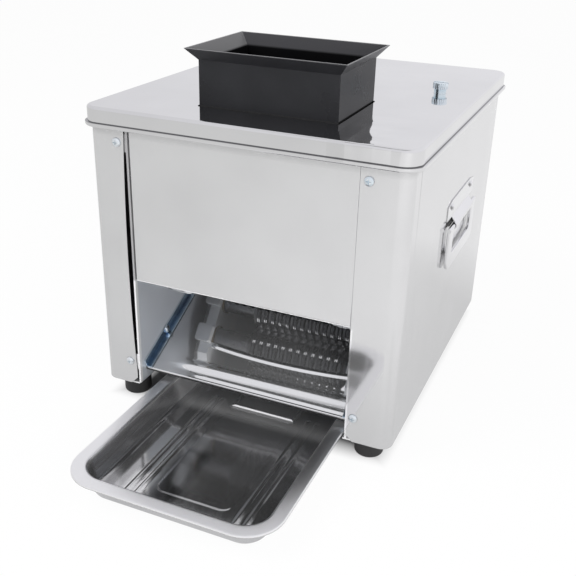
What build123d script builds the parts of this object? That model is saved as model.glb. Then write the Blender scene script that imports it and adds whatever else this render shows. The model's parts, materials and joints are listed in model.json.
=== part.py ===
from build123d import *
import os
from math import acos, asin, atan2, cos, hypot, pi, radians, sin, sqrt, tan

# Desktop meat cutting machine. Millimetres, +Z up, the front faces -Y, the origin is on the table
# under the middle of the casing.

# Casing
BODY_W = 320.0
BODY_D = 376.0
BODY_Z = 20.0
SHEET = 1.2
CORNER_R = 12.0
REAR_RETURN = 26.0
OPENING_X = -3.0
OPENING_W = 234.0
FLANGE_BOW = 3.2
BOW_Z = (34.0, 292.0)
SHELL_NOTCH = 8.0
BASE_SHEET = 1.5
FRONT_SCREW_X = 125.0
FRONT_SCREW_Z = (47.0, 284.0)
REAR_SCREW_X = 142.0
REAR_SCREW_Z = (50.0, 168.0, 286.0)
PANEL_BOTTOM = 142.0
PANEL_RETURNS = (10.0, 22.0)
PANEL_GAP = 1.0
PANEL_SCREW_Y = 14.0
PANEL_SCREW_Z = (165.0, 270.0)
REAR_PANEL_W = 294.0
REAR_PANEL_Z = (24.0, 312.0)
VENT_SLOT = (76.0, 4.0)
VENT_PITCH = (110.0, 14.0)
VENT_ROWS = 9
VENT_Z = 195.0
TRAY_BAY_DEPTH = 15.0
BASE_TURN_UP = 16.0

# Lid
LID_TOP = 316.0
LID_OVERHANG = 4.25
LID_SKIRT = 15.2
LID_CORNER_R = 17.0
BEAD_OUT = 2.5
BEAD_H = 4.0
LID_EDGE_R = 3.0
BEAD_R = 1.8
THUMB_X = 123.5
THUMB_Y = 31.1
THUMB_HEAD = (7.8, 6.0)
THUMB_COLLAR = (6.2, 5.0)
THUMB_STEM = (2.9, 26.0)
THUMB_HOLE_R = 3.5
KNURLS = 24
BRACKET_Z = (282.0, 306.0)
BRACKET_SHEET = 2.0
BRACKET_W = 30.0
WELD_NUT = (5.8, 8.0)

# Feed hopper
HOPPER_X = 5.0
HOPPER_Y = -90.6
HOPPER_W = 140.0
HOPPER_D = 100.0
HOPPER_WALL = 3.0
HOPPER_FLARE_Z = 358.6
HOPPER_RIM_Z = 369.7
HOPPER_FLARE = 10.0
HOPPER_BOTTOM = 157.0
SPOUT_Z = 205.0
SPOUT_STEP = 16.0
LEDGE = (1.0, 0.5)
HOPPER_PLAY = 0.6

# Inner walls and discharge chute
WALL = 2.0
WALL_FRONT = -186.8
WALL_TAB = (20.0, 18.0)
RIGHT_WALL_BACK = 45.0
BULKHEAD_Y = -10.0
BULKHEAD_LOW = 32.0
CHUTE_SHEET = 1.5
LIP_Y = -175.0
LIP_Z = 35.5
LIP_DROP = 3.0
CHUTE_SLOPE = radians(25.4)
CHUTE_BACK_Y = -19.0
CHUTE_BACK_Z = 150.0
BROAD_RIDGE = (21.0, 26.0, 3.8)
SLIM_RIDGE = (47.0, 6.0, 2.6)
ANGLE_LEG = 10.0
ANGLE_FOOT = 7.0
ANGLE_LENGTH = 106.0

# Cutter drums
AXIS_Z = 128.0
FRONT_Y = -115.0
REAR_Y = -71.0
SHAFT_R = 8.0
BLADE_R = 23.0
BLADE_T = 4.1
BLADE_PITCH = 9.0
STACK_X = 16.0
FRONT_BLADES = 13
REAR_BLADES = 14
SPACER_R = 16.0
COLLAR_R = 12.0
PLATE_LEFT = (-106.0, -90.0)
PLATE_RIGHT = (80.0, 90.0)
PLATE_Y = (-158.0, -28.0)
PLATE_TOP = 170.0
PLATE_LOW = 114.0
PLATE_NOSE = (-138.0, 130.0)
BUSH_R = 11.0
BUSH_LIP = 2.0
CAP = (20.0, 8.0)
RUNNING = 0.05
RAIL = 8.0
RAIL_Z = 158.0
RAIL_Y = (-148.0, -35.0)
COMB_T = 3.2
COMB_BAR = 6.0
COMB_Z = (132.0, 160.0)
COMB_R = (17.2, 24.2)
COMB_TIP_Y = (-111.0, -89.0)
COMB_ROOT = 14.0
COMB_ROOT_Z = 142.0

# Drive train
MODULE = 2.0
PRESSURE_ANGLE = radians(20.0)
BACKLASH = 0.3
TIMING_TEETH = 22
FINAL_TEETH = 63
PINION_TEETH = 18
TIMING_X = (92.0, 102.0)
FINAL_X = (121.0, 131.0)
PINION_X = (120.0, 132.0)
COUNTER_R = 7.5
PULLEY_X = (135.0, 151.0)
PULLEY_RIM = 3.0
BELT_T = 5.0
BELT_GAP = 0.35
DRIVEN_PITCH_R = 52.5
MOTOR_PITCH_R = 18.75
MOTOR_Y = 100.0
MOTOR_Z = 98.0
MOTOR_R = 60.0
MOTOR_HALF = 95.0
MOTOR_CAP = 12.0
MOTOR_SHAFT_R = 7.0
HOUSING_WALL = 6.0
STATOR_R = 33.0
STATOR_HALF = 50.0
AIR_GAP = 0.6
MOUNT = (160.0, 90.0, 4.0)
CRADLE_X = (52.0, 72.0)
COUNTER_HOUSING_R = 16.0
COUNTER_HOUSING_X = 62.0
COUNTER_FLANGE = (5.0, 34.0, 60.0)

# Tray
TRAY_X = 8.0
TRAY_Y = -219.0
TRAY_W = 209.0
TRAY_L = 284.0
TRAY_H = 28.0
TRAY_RIM = 14.0
TRAY_DRAFT = 5.0
TRAY_SHEET = 0.8
TRAY_HEM = 2.2
TRAY_CORNER_R = 36.0
TRAY_MOUTH_R = 24.0
TRAY_FLOOR_R = 20.0
TRAY_FOOT_R = 5.0
EMBOSS_X = 12.0
EMBOSS_H = 1.0
EMBOSS_PANEL = (76.0, 138.0, -241.0)
EMBOSS_BEAD = (176.0, 3.0, -236.0)
EMBOSS_BEAD_X = (50.0, 60.0)
EMBOSS_BAR = (72.0, 4.0, -156.0)

# Handles
HANDLE_Y = 18.0
HANDLE_L = 116.0
HANDLE_TOP = 222.0
HANDLE_PIN_Z = 194.0
HANDLE_PIN_OUT = 3.6
HANDLE_SHEET = 1.0
PLATE_CORNER = (16.0, 3.5)
TONGUE_TOP = 203.5
TONGUE_HALF = 38.0
TONGUE_ARC = (36.0, -186.0)
BAIL_LEG = 15.0
BAIL_T = 3.8
BAIL_DROP = 44.5
BAIL_PIN_R = 2.3
BAIL_CORNER_R = 9.0
BAIL_INNER_R = 5.0
BAIL_EDGE_R = 1.2
RIVET_PITCH = 84.0
RIVET_Z = 215.0
RIVET_HEAD = (4.2, 2.6, 1.8)
RIVET_TAIL = (3.6, 1.4)

# Feet, switch and gland
FOOT_R = 14.5
FOOT_EDGE_R = 3.5
FOOT_SPREAD = (268.0, 334.0)
FOOT_WELL = (6.5, 10.0)
FOOT_SCREW_R = 2.5
FOOT_SCREW_Z = (7.0, 28.0)
FOOT_SCREW_HEAD = (5.0, 3.0)
FOOT_NUT = (4.6, 4.0)
SWITCH_Y = -120.0
SWITCH_Z = 250.0
SWITCH_BEZEL = (28.0, 34.0)
SWITCH_CUT = (22.0, 28.0)
SWITCH_CASE = (21.6, 27.6)
SWITCH_WELL = (18.0, 24.0)
SWITCH_DEPTH = 24.0
ROCKER_R = 13.0
ROCKER = (17.0, 16.0)
ROCKER_SINK = 11.0
ROCKER_PIN_R = 1.5
ROCKER_BEAD = (0.5, 11.0, 4.0)
GLAND_X = -110.0
GLAND_Z = 60.0
GLAND_R = 8.0
GLAND_HEX = (12.0, 6.0)
GLAND_DOME = (10.0, 12.0)
GLAND_NUT = (11.0, 5.0)
GLAND_BORE = 4.0

# Screws
SCREW_R = 2.0
SCREW_HEAD_R = 4.3
SCREW_HEAD_H = 2.6
HOLE_PLAY = 0.2
CROSS_SLOT = (4.4, 0.9, 1.8)

# Places worked out from the sizes above
BODY_TOP = LID_TOP - SHEET
LEFT_EDGE = OPENING_X - OPENING_W / 2
RIGHT_EDGE = OPENING_X + OPENING_W / 2
LEFT_WALL = (LEFT_EDGE + 1, LEFT_EDGE + 1 + WALL)
RIGHT_WALL = (RIGHT_EDGE, RIGHT_EDGE + WALL)
BAY_X = (LEFT_WALL[1], RIGHT_WALL[0])
WALL_TOP = BODY_TOP - WALL
BASE_TOP = BODY_Z + BASE_SHEET
FINAL_R = MODULE * FINAL_TEETH / 2
PINION_R = MODULE * PINION_TEETH / 2
COUNTER_Y = REAR_Y + FINAL_R + PINION_R
SIDE_X = BODY_W / 2
FRONT = -BODY_D / 2
REAR = BODY_D / 2
SLOPE = Plane(
    origin=(0, LIP_Y, LIP_Z),
    x_dir=(1, 0, 0),
    z_dir=(0, -sin(CHUTE_SLOPE), cos(CHUTE_SLOPE)),
)
STAND = (Align.CENTER, Align.CENTER, Align.MIN)
HANG = (Align.CENTER, Align.CENTER, Align.MAX)


def block(x, y, z, mode=Mode.ADD):
    """A box between two limits along each axis, in the piece being built."""
    spans = (x, y, z)
    middle = tuple((low + high) / 2 for low, high in spans)
    with Locations(middle):
        Box(*(high - low for low, high in spans), mode=mode)


def span(first, second):
    """The two limits in rising order."""
    return min(first, second), max(first, second)


def around(middle, length):
    """The limits of a length about its middle."""
    return middle - length / 2, middle + length / 2


def rod(x, axis, radius, mode=Mode.ADD):
    """A round bar along X between two limits; axis is its (y, z)."""
    with Locations(Location((x[0], *axis), (0, 90, 0))):
        Cylinder(radius, x[1] - x[0], align=STAND, mode=mode)


def hole(place, direction, radius, depth):
    """A round hole through the piece being built, centred at place."""
    with Locations(Plane(origin=place, z_dir=direction)):
        Cylinder(radius, depth, mode=Mode.SUBTRACT)


def pan_screws(seats, reach):
    """Cross-head pan screws; each seat is where the head bears and the way the head points."""
    with BuildPart() as screws:
        for place, outward in seats:
            seat = Plane(origin=place, z_dir=outward)
            with Locations(seat):
                Cylinder(SCREW_HEAD_R, SCREW_HEAD_H / 2, align=STAND)
                Cylinder(SCREW_R, reach, align=HANG)
            with Locations(seat.offset(SCREW_HEAD_H / 2)):
                Cone(SCREW_HEAD_R, SCREW_HEAD_R * 0.6, SCREW_HEAD_H / 2, align=STAND)
            with Locations(seat.offset(SCREW_HEAD_H)):
                length, width, depth = CROSS_SLOT
                Box(width, length, depth, align=HANG, mode=Mode.SUBTRACT)
                Box(length, width, depth, align=HANG, mode=Mode.SUBTRACT)
    return screws


# Seats of the screws, shared by the screws and the holes they pass through
front_seats = [
    ((OPENING_X + side * FRONT_SCREW_X, FRONT, z), (0, -1, 0))
    for side in (-1, 1)
    for z in FRONT_SCREW_Z
]
rear_seats = [((side * REAR_SCREW_X, REAR, z), (0, 1, 0)) for side in (-1, 1) for z in REAR_SCREW_Z]
wall_faces = ((LEFT_WALL[0], -1), (RIGHT_WALL[1], 1))
rail_seats = [((x, y, RAIL_Z), (way, 0, 0)) for x, way in wall_faces for y in RAIL_Y]
panel_seats = [
    ((x, FRONT + PANEL_SCREW_Y, z), (way, 0, 0)) for x, way in wall_faces for z in PANEL_SCREW_Z
]
angle_middle = SLOPE.from_local_coords(Vector(0, ANGLE_LENGTH * 0.46, ANGLE_LEG * 0.62))
angle_seats = [
    ((BAY_X[0] + BASE_SHEET, angle_middle.Y, angle_middle.Z), (1, 0, 0)),
    ((BAY_X[1] - BASE_SHEET, angle_middle.Y, angle_middle.Z), (-1, 0, 0)),
]
rivet_places = [HANDLE_Y - RIVET_PITCH / 2, HANDLE_Y + RIVET_PITCH / 2]


# Side shells: wall, front flange and rear return in one folded sheet
def side_shell(side, front_edge):
    with BuildPart() as shell:
        with BuildSketch(Plane.XY.offset(BODY_Z)):
            RectangleRounded(BODY_W, BODY_D, CORNER_R)
            offset(amount=-SHEET, mode=Mode.SUBTRACT)
            with Locations((front_edge - side * SIDE_X, -BODY_D / 2)):
                Rectangle(BODY_W, BODY_D, mode=Mode.SUBTRACT)
            with Locations((side * (SIDE_X - REAR_RETURN) - side * SIDE_X, BODY_D / 2)):
                Rectangle(BODY_W, BODY_D, mode=Mode.SUBTRACT)
        extrude(amount=BODY_TOP - BODY_Z)
        # The lower inner corner of the front flange is cut off
        with BuildSketch(Plane.XZ.offset(-FRONT + SHEET)):
            with BuildLine():
                Polyline(
                    (front_edge, BODY_Z),
                    (front_edge + side * SHELL_NOTCH, BODY_Z),
                    (front_edge, BODY_Z + SHELL_NOTCH),
                    close=True,
                )
            make_face()
        extrude(amount=-3 * SHEET, mode=Mode.SUBTRACT)
        for place, outward in front_seats + rear_seats:
            if place[0] * side > 0:
                hole(place, outward, SCREW_R + HOLE_PLAY, 4 * SHEET)
        for y in rivet_places:
            hole((side * SIDE_X, y, RIVET_Z), (1, 0, 0), SCREW_R + HOLE_PLAY, 4 * SHEET)
    return shell


right_side_shell = side_shell(1, RIGHT_EDGE)
plain_left_shell = side_shell(-1, LEFT_EDGE)

# The left flange bows a little, and the left wall carries the switch
with BuildPart() as left_side_shell:
    add(plain_left_shell.part)
    with BuildSketch(Plane.XZ.offset(-FRONT + SHEET)):
        with BuildLine():
            bow_top = (LEFT_EDGE, BOW_Z[1])
            bow_low = (LEFT_EDGE, BOW_Z[0])
            ThreePointArc(bow_top, (LEFT_EDGE - FLANGE_BOW, sum(BOW_Z) / 2), bow_low)
            Line(bow_low, bow_top)
        make_face()
    extrude(amount=-3 * SHEET, mode=Mode.SUBTRACT)
    cut_y = around(SWITCH_Y, SWITCH_CUT[0])
    cut_z = around(SWITCH_Z, SWITCH_CUT[1])
    block(around(-SIDE_X, 4 * SHEET), cut_y, cut_z, Mode.SUBTRACT)

# Rear panel with two columns of vent slots and the gland hole
with BuildPart() as rear_panel:
    block(around(0, REAR_PANEL_W), (REAR - 2 * SHEET, REAR - SHEET), REAR_PANEL_Z)
    with BuildSketch(Plane.XZ.offset(-REAR)):
        with Locations((0, VENT_Z)):
            with GridLocations(*VENT_PITCH, 2, VENT_ROWS):
                SlotOverall(*VENT_SLOT)
    extrude(amount=4 * SHEET, mode=Mode.SUBTRACT)
    for place, outward in rear_seats:
        hole(place, outward, SCREW_R + HOLE_PLAY, 8 * SHEET)
    hole((GLAND_X, REAR, GLAND_Z), (0, 1, 0), GLAND_R + HOLE_PLAY, 8 * SHEET)

# Base plate: open at the front for the tray, with turned-up sides
with BuildPart() as base_plate:
    with BuildSketch(Plane.XY.offset(BODY_Z)):
        RectangleRounded(BODY_W - 2 * SHEET, BODY_D - 2 * SHEET, CORNER_R - SHEET)
        with Locations((OPENING_X - 0.5, FRONT)):
            Rectangle(BAY_X[1] - BAY_X[0], 2 * (TRAY_BAY_DEPTH - FRONT), mode=Mode.SUBTRACT)
        with Locations((0, REAR)):
            Rectangle(BODY_W, 4 * SHEET, mode=Mode.SUBTRACT)
    extrude(amount=BASE_SHEET)
    for side in (-1, 1):
        outer = side * (SIDE_X - SHEET)
        turned = span(outer, outer - side * BASE_SHEET)
        block(turned, (FRONT + 1.5 * CORNER_R, REAR - 1.5 * CORNER_R), (BASE_TOP, BASE_TOP + BASE_TURN_UP))
    with GridLocations(*FOOT_SPREAD, 2, 2):
        with Locations((0, 0, BODY_Z)):
            Cylinder(FOOT_SCREW_R + HOLE_PLAY, 4 * BASE_SHEET, mode=Mode.SUBTRACT)

# Inner walls, with tabs behind the front flanges for the front screws
def inner_wall(side, wall_x, outer_face, back):
    with BuildPart() as wall:
        block(wall_x, (WALL_FRONT, back), (BASE_TOP, WALL_TOP))
        for z in FRONT_SCREW_Z:
            tab_x = span(outer_face, outer_face + side * WALL_TAB[0])
            block(tab_x, (WALL_FRONT, WALL_FRONT + BASE_SHEET), around(z, WALL_TAB[1]))
        for place, outward in front_seats + rail_seats + panel_seats + angle_seats:
            if place[0] * side > 0:
                hole(place, outward, SCREW_R + HOLE_PLAY, 6 * WALL)
    return wall


left_inner_wall = inner_wall(-1, LEFT_WALL, LEFT_WALL[0], BULKHEAD_Y + BASE_SHEET)
plain_right_wall = inner_wall(1, RIGHT_WALL, RIGHT_WALL[1], RIGHT_WALL_BACK)

with BuildPart() as right_inner_wall:
    add(plain_right_wall.part)
    hole((RIGHT_WALL[0], REAR_Y, AXIS_Z), (1, 0, 0), SHAFT_R + 2, 6 * WALL)
    hole((RIGHT_WALL[0], COUNTER_Y, AXIS_Z), (1, 0, 0), COUNTER_R + 2, 6 * WALL)

with BuildPart() as bulkhead:
    block(BAY_X, (BULKHEAD_Y, BULKHEAD_Y + BASE_SHEET), (BULKHEAD_LOW, WALL_TOP))

# Front panel: a shallow pan between the inner walls
with BuildPart() as front_panel:
    panel_face = FRONT + 1
    panel_z = (PANEL_BOTTOM, WALL_TOP)
    panel_x = (BAY_X[0] + PANEL_GAP, BAY_X[1])
    bottom_return, side_return = PANEL_RETURNS
    block(panel_x, (panel_face, panel_face + SHEET), panel_z)
    block(panel_x, (panel_face, panel_face + bottom_return), (PANEL_BOTTOM, PANEL_BOTTOM + SHEET))
    for x in ((panel_x[0], panel_x[0] + SHEET), (panel_x[1] - SHEET, panel_x[1])):
        block(x, (panel_face, panel_face + side_return), panel_z)
    for place, outward in panel_seats:
        hole(place, outward, SCREW_R + HOLE_PLAY, 8 * WALL)

# Discharge chute: turned-down lip, polished slope with two pressed ridges, upright back
with BuildPart() as discharge_chute:
    middle = CHUTE_SHEET / 2
    rise = (CHUTE_BACK_Y - LIP_Y) * tan(CHUTE_SLOPE)
    with BuildSketch(Plane.YZ.offset(BAY_X[0] + 0.3)):
        with BuildLine():
            FilletPolyline(
                (LIP_Y + middle, LIP_Z - LIP_DROP),
                (LIP_Y + middle, LIP_Z - middle),
                (CHUTE_BACK_Y, LIP_Z + rise - middle),
                (CHUTE_BACK_Y, CHUTE_BACK_Z),
                radius=1.2,
            )
        trace(line_width=CHUTE_SHEET)
    extrude(amount=BAY_X[1] - BAY_X[0] - 0.6)
    for along, radius, height in (BROAD_RIDGE, SLIM_RIDGE):
        with BuildLine(SLOPE) as ridge_path:
            ridge_ends = (BAY_X[0] + ANGLE_FOOT + 4, BAY_X[1] - ANGLE_FOOT - 4)
            ThreePointArc((ridge_ends[0], along), (OPENING_X, along + 2), (ridge_ends[1], along + 8))
        heading = ridge_path.line % 0
        with BuildSketch(Plane(ridge_path.line @ 0, x_dir=SLOPE.z_dir.cross(heading), z_dir=heading)):
            with Locations((0, height - radius)):
                Circle(radius)
            with Locations((0, -CHUTE_SHEET / 2 - radius)):
                Rectangle(4 * radius, 2 * radius, mode=Mode.SUBTRACT)
        sweep(path=ridge_path.line)


# Zinc-plated angles that hold the chute's edges to the inner walls
def chute_angle(wall_x, into, seat):
    with BuildPart() as angle:
        with BuildSketch(SLOPE):
            with Locations((wall_x + into * ANGLE_FOOT / 2, ANGLE_LENGTH / 2)):
                Rectangle(ANGLE_FOOT, ANGLE_LENGTH)
        extrude(amount=BASE_SHEET)
        with BuildSketch(SLOPE):
            with Locations((wall_x + into * BASE_SHEET / 2, ANGLE_LENGTH / 2)):
                Rectangle(BASE_SHEET, ANGLE_LENGTH)
        extrude(amount=ANGLE_LEG)
        hole(*seat, SCREW_R + HOLE_PLAY, 8 * BASE_SHEET)
    return angle


left_chute_angle = chute_angle(BAY_X[0], 1, angle_seats[0])
right_chute_angle = chute_angle(BAY_X[1], -1, angle_seats[1])

# Screws
front_screws = pan_screws(front_seats, 12)
rear_screws = pan_screws(rear_seats, 10)
inner_screws = pan_screws(rail_seats + panel_seats + angle_seats, 9)

# Feet with their fixings
with BuildPart() as rubber_feet:
    with GridLocations(*FOOT_SPREAD, 2, 2):
        Cylinder(FOOT_R, BODY_Z, align=STAND)
    fillet(rubber_feet.edges().group_by(Axis.Z)[0], radius=FOOT_EDGE_R)
    with GridLocations(*FOOT_SPREAD, 2, 2):
        Cylinder(*FOOT_WELL, align=STAND, mode=Mode.SUBTRACT)
        Cylinder(FOOT_SCREW_R + HOLE_PLAY, BODY_Z, align=STAND, mode=Mode.SUBTRACT)

with BuildPart() as foot_fixings:
    with GridLocations(*FOOT_SPREAD, 2, 2):
        with Locations((0, 0, FOOT_SCREW_Z[0])):
            Cylinder(*FOOT_SCREW_HEAD, align=STAND)
            Cylinder(FOOT_SCREW_R, FOOT_SCREW_Z[1] - FOOT_SCREW_Z[0], align=STAND)
    with BuildSketch(Plane.XY.offset(BASE_TOP)):
        with GridLocations(*FOOT_SPREAD, 2, 2):
            RegularPolygon(FOOT_NUT[0], 6)
            Circle(FOOT_SCREW_R + HOLE_PLAY, mode=Mode.SUBTRACT)
    extrude(amount=FOOT_NUT[1])

# Lid: a shallow pan whose skirt ends in a rolled bead
with BuildPart() as lid:
    skirt_w = BODY_W + 2 * LID_OVERHANG
    skirt_d = BODY_D + 2 * LID_OVERHANG
    bead_low = LID_TOP - LID_SKIRT - BEAD_H
    with BuildSketch(Plane.XY.offset(bead_low)):
        RectangleRounded(skirt_w, skirt_d, LID_CORNER_R)
    extrude(amount=LID_TOP - bead_low)
    fillet(lid.edges().group_by(Axis.Z)[-1], radius=LID_EDGE_R)
    with BuildSketch(Plane.XY.offset(bead_low)):
        RectangleRounded(skirt_w + 2 * BEAD_OUT, skirt_d + 2 * BEAD_OUT, LID_CORNER_R + BEAD_OUT)
    extrude(amount=BEAD_H)
    bead_rims = lid.edges().filter_by_position(Axis.Z, bead_low - 0.1, bead_low + BEAD_H + 0.1)
    level_rims = bead_rims.filter_by(lambda rim: rim.bounding_box().size.Z < 0.01)
    fillet(level_rims.sort_by(Axis.Z)[:8], radius=BEAD_R)
    with BuildSketch(Plane.XY.offset(bead_low)):
        RectangleRounded(skirt_w - 2 * SHEET, skirt_d - 2 * SHEET, LID_CORNER_R - SHEET)
    extrude(amount=BODY_TOP - bead_low, mode=Mode.SUBTRACT)
    with BuildSketch(Plane.XY.offset(BODY_TOP)):
        with Locations((HOPPER_X, HOPPER_Y)):
            RectangleRounded(HOPPER_W + 2 * HOPPER_PLAY, HOPPER_D + 2 * HOPPER_PLAY, HOPPER_PLAY)
        with Locations((-THUMB_X, THUMB_Y), (THUMB_X, THUMB_Y)):
            Circle(THUMB_HOLE_R)
    extrude(amount=2 * SHEET, mode=Mode.SUBTRACT)

# Feed hopper: straight box, flared rim, spout that steps in on the left over the blades
with BuildPart() as hopper:
    for inset, mode in ((0, Mode.ADD), (HOPPER_WALL, Mode.SUBTRACT)):
        left = HOPPER_X - HOPPER_W / 2 + inset
        right = HOPPER_X + HOPPER_W / 2 - inset
        with BuildSketch(Plane.XZ.offset(-HOPPER_Y - HOPPER_D / 2 + inset)):
            with BuildLine():
                Polyline(
                    (left + SPOUT_STEP, HOPPER_BOTTOM),
                    (right, HOPPER_BOTTOM),
                    (right, HOPPER_FLARE_Z),
                    (left, HOPPER_FLARE_Z),
                    (left, SPOUT_Z),
                    close=True,
                )
            make_face()
        extrude(amount=HOPPER_D - 2 * inset, mode=mode)
        with BuildSketch(Plane.XY.offset(HOPPER_FLARE_Z)):
            with Locations((HOPPER_X, HOPPER_Y)):
                Rectangle(HOPPER_W - 2 * inset, HOPPER_D - 2 * inset)
        with BuildSketch(Plane.XY.offset(HOPPER_RIM_Z)):
            with Locations((HOPPER_X, HOPPER_Y)):
                wider = 2 * HOPPER_FLARE - inset * 4 / 3
                Rectangle(HOPPER_W + wider, HOPPER_D + wider)
        loft(ruled=True, mode=mode)
    with BuildSketch(Plane.XY.offset(LID_TOP)):
        with Locations((HOPPER_X, HOPPER_Y)):
            Rectangle(HOPPER_W + 2 * LEDGE[0], HOPPER_D + 2 * LEDGE[0])
            Rectangle(HOPPER_W - HOPPER_WALL, HOPPER_D - HOPPER_WALL, mode=Mode.SUBTRACT)
    extrude(amount=LEDGE[1])


# Thumb screws through the lid, and the brackets under it that take them
def thumb_screw(side):
    place = (side * THUMB_X, THUMB_Y)
    head_r, head_h = THUMB_HEAD
    head_low = LID_TOP + THUMB_COLLAR[1]
    with BuildPart() as screw:
        with Locations((*place, LID_TOP)):
            Cylinder(*THUMB_COLLAR, align=STAND)
            Cylinder(*THUMB_STEM, align=HANG)
        with Locations((*place, head_low)):
            Cylinder(*THUMB_HEAD, align=STAND)
            with PolarLocations(head_r + 0.2, KNURLS):
                Cylinder(0.5, head_h, align=STAND, mode=Mode.SUBTRACT)
        with Locations((*place, head_low + head_h)):
            Box(2.4 * head_r, 0.2 * head_r, 0.4 * head_h, mode=Mode.SUBTRACT)
    return screw


def lid_bracket(side):
    shell_x = side * (SIDE_X - SHEET)
    tip_x = side * (RIGHT_WALL[1] + 1)
    spread = around(THUMB_Y, BRACKET_W)
    low, top = BRACKET_Z
    with BuildPart() as bracket:
        block(span(shell_x, tip_x), spread, (top, top + BRACKET_SHEET))
        block(span(shell_x, shell_x - side * BRACKET_SHEET), spread, (low, top))
        with BuildSketch(Plane.XY.offset(top - WELD_NUT[1])):
            with Locations((side * THUMB_X, THUMB_Y)):
                RegularPolygon(WELD_NUT[0], 6)
        extrude(amount=WELD_NUT[1])
        hole((side * THUMB_X, THUMB_Y, top), (0, 0, 1), THUMB_HOLE_R - HOLE_PLAY, 3 * WELD_NUT[1])
    return bracket


left_thumb_screw = thumb_screw(-1)
right_thumb_screw = thumb_screw(1)
left_lid_bracket = lid_bracket(-1)
right_lid_bracket = lid_bracket(1)

# Collecting tray: tapered pan, flat rim with a hem, embossed floor
with BuildPart() as tray:
    mouth = (TRAY_W - 2 * TRAY_RIM, TRAY_L - 2 * TRAY_RIM)
    with BuildSketch(Plane.XY.offset(TRAY_H - TRAY_HEM)):
        with Locations((TRAY_X, TRAY_Y)):
            RectangleRounded(TRAY_W, TRAY_L, TRAY_CORNER_R)
        offset(amount=-TRAY_SHEET, mode=Mode.SUBTRACT)
    extrude(amount=TRAY_HEM)
    with BuildSketch(Plane.XY.offset(TRAY_H - TRAY_SHEET)):
        with Locations((TRAY_X, TRAY_Y)):
            RectangleRounded(TRAY_W, TRAY_L, TRAY_CORNER_R)
    extrude(amount=TRAY_SHEET)
    for inset, mode in ((0, Mode.ADD), (TRAY_SHEET, Mode.SUBTRACT)):
        mouth_z = TRAY_H - TRAY_SHEET + inset
        for z, draft_in, corner in ((inset, TRAY_DRAFT, TRAY_FLOOR_R), (mouth_z, 0, TRAY_MOUTH_R)):
            with BuildSketch(Plane.XY.offset(z)):
                with Locations((TRAY_X, TRAY_Y)):
                    lost = 2 * (draft_in + inset)
                    RectangleRounded(mouth[0] - lost, mouth[1] - lost, corner - inset)
        loft(ruled=True, mode=mode)
    for z, radius in ((0, TRAY_FOOT_R), (TRAY_SHEET, TRAY_FOOT_R - TRAY_SHEET)):
        fillet(tray.edges().filter_by_position(Axis.Z, z - 0.1, z + 0.1), radius=radius)
    with BuildSketch(Plane.XY.offset(TRAY_SHEET)):
        with Locations((EMBOSS_X, EMBOSS_PANEL[2])):
            RectangleRounded(*EMBOSS_PANEL[:2], 8)
        for side in (-1, 1):
            for x in EMBOSS_BEAD_X:
                with Locations((EMBOSS_X + side * x, EMBOSS_BEAD[2])):
                    SlotOverall(*EMBOSS_BEAD[:2], rotation=90)
        with Locations((EMBOSS_X, EMBOSS_BAR[2])):
            SlotOverall(*EMBOSS_BAR[:2])
    extrude(amount=EMBOSS_H, taper=20)


# Drop handles: riveted plate whose tongue is bent over a pin, and a bail that hangs on the pin
def handle_plate(side):
    pin = (side * (SIDE_X + HANDLE_PIN_OUT), HANDLE_PIN_Z)
    bore_r = HANDLE_PIN_OUT - HANDLE_SHEET
    half = HANDLE_L / 2
    corner_in, corner_drop = PLATE_CORNER
    arc_start, arc_size = TONGUE_ARC
    if side < 0:
        arc_start, arc_size = 180 - arc_start, -arc_size
    with BuildPart() as plate:
        with BuildSketch(Plane.YZ.offset(side * SIDE_X)):
            with BuildLine():
                Polyline(
                    (HANDLE_Y - half, TONGUE_TOP),
                    (HANDLE_Y - half, HANDLE_TOP - corner_drop),
                    (HANDLE_Y - half + corner_in, HANDLE_TOP),
                    (HANDLE_Y + half - corner_in, HANDLE_TOP),
                    (HANDLE_Y + half, HANDLE_TOP - corner_drop),
                    (HANDLE_Y + half, TONGUE_TOP),
                    close=True,
                )
            make_face()
        extrude(amount=side * HANDLE_SHEET)
        with BuildSketch(Plane.XZ.offset(-HANDLE_Y - TONGUE_HALF)):
            with BuildLine():
                outer = CenterArc(pin, HANDLE_PIN_OUT, arc_start, arc_size)
                inner = CenterArc(pin, bore_r, arc_start, arc_size)
                Line(outer @ 1, inner @ 1)
                Polyline(
                    outer @ 0,
                    (side * (SIDE_X + HANDLE_SHEET), TONGUE_TOP),
                    (side * SIDE_X, TONGUE_TOP),
                    inner @ 0,
                )
            make_face()
        extrude(amount=2 * TONGUE_HALF)
        for y in rivet_places:
            hole((side * SIDE_X, y, RIVET_Z), (1, 0, 0), SCREW_R + HOLE_PLAY, 12)
    return plate


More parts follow.
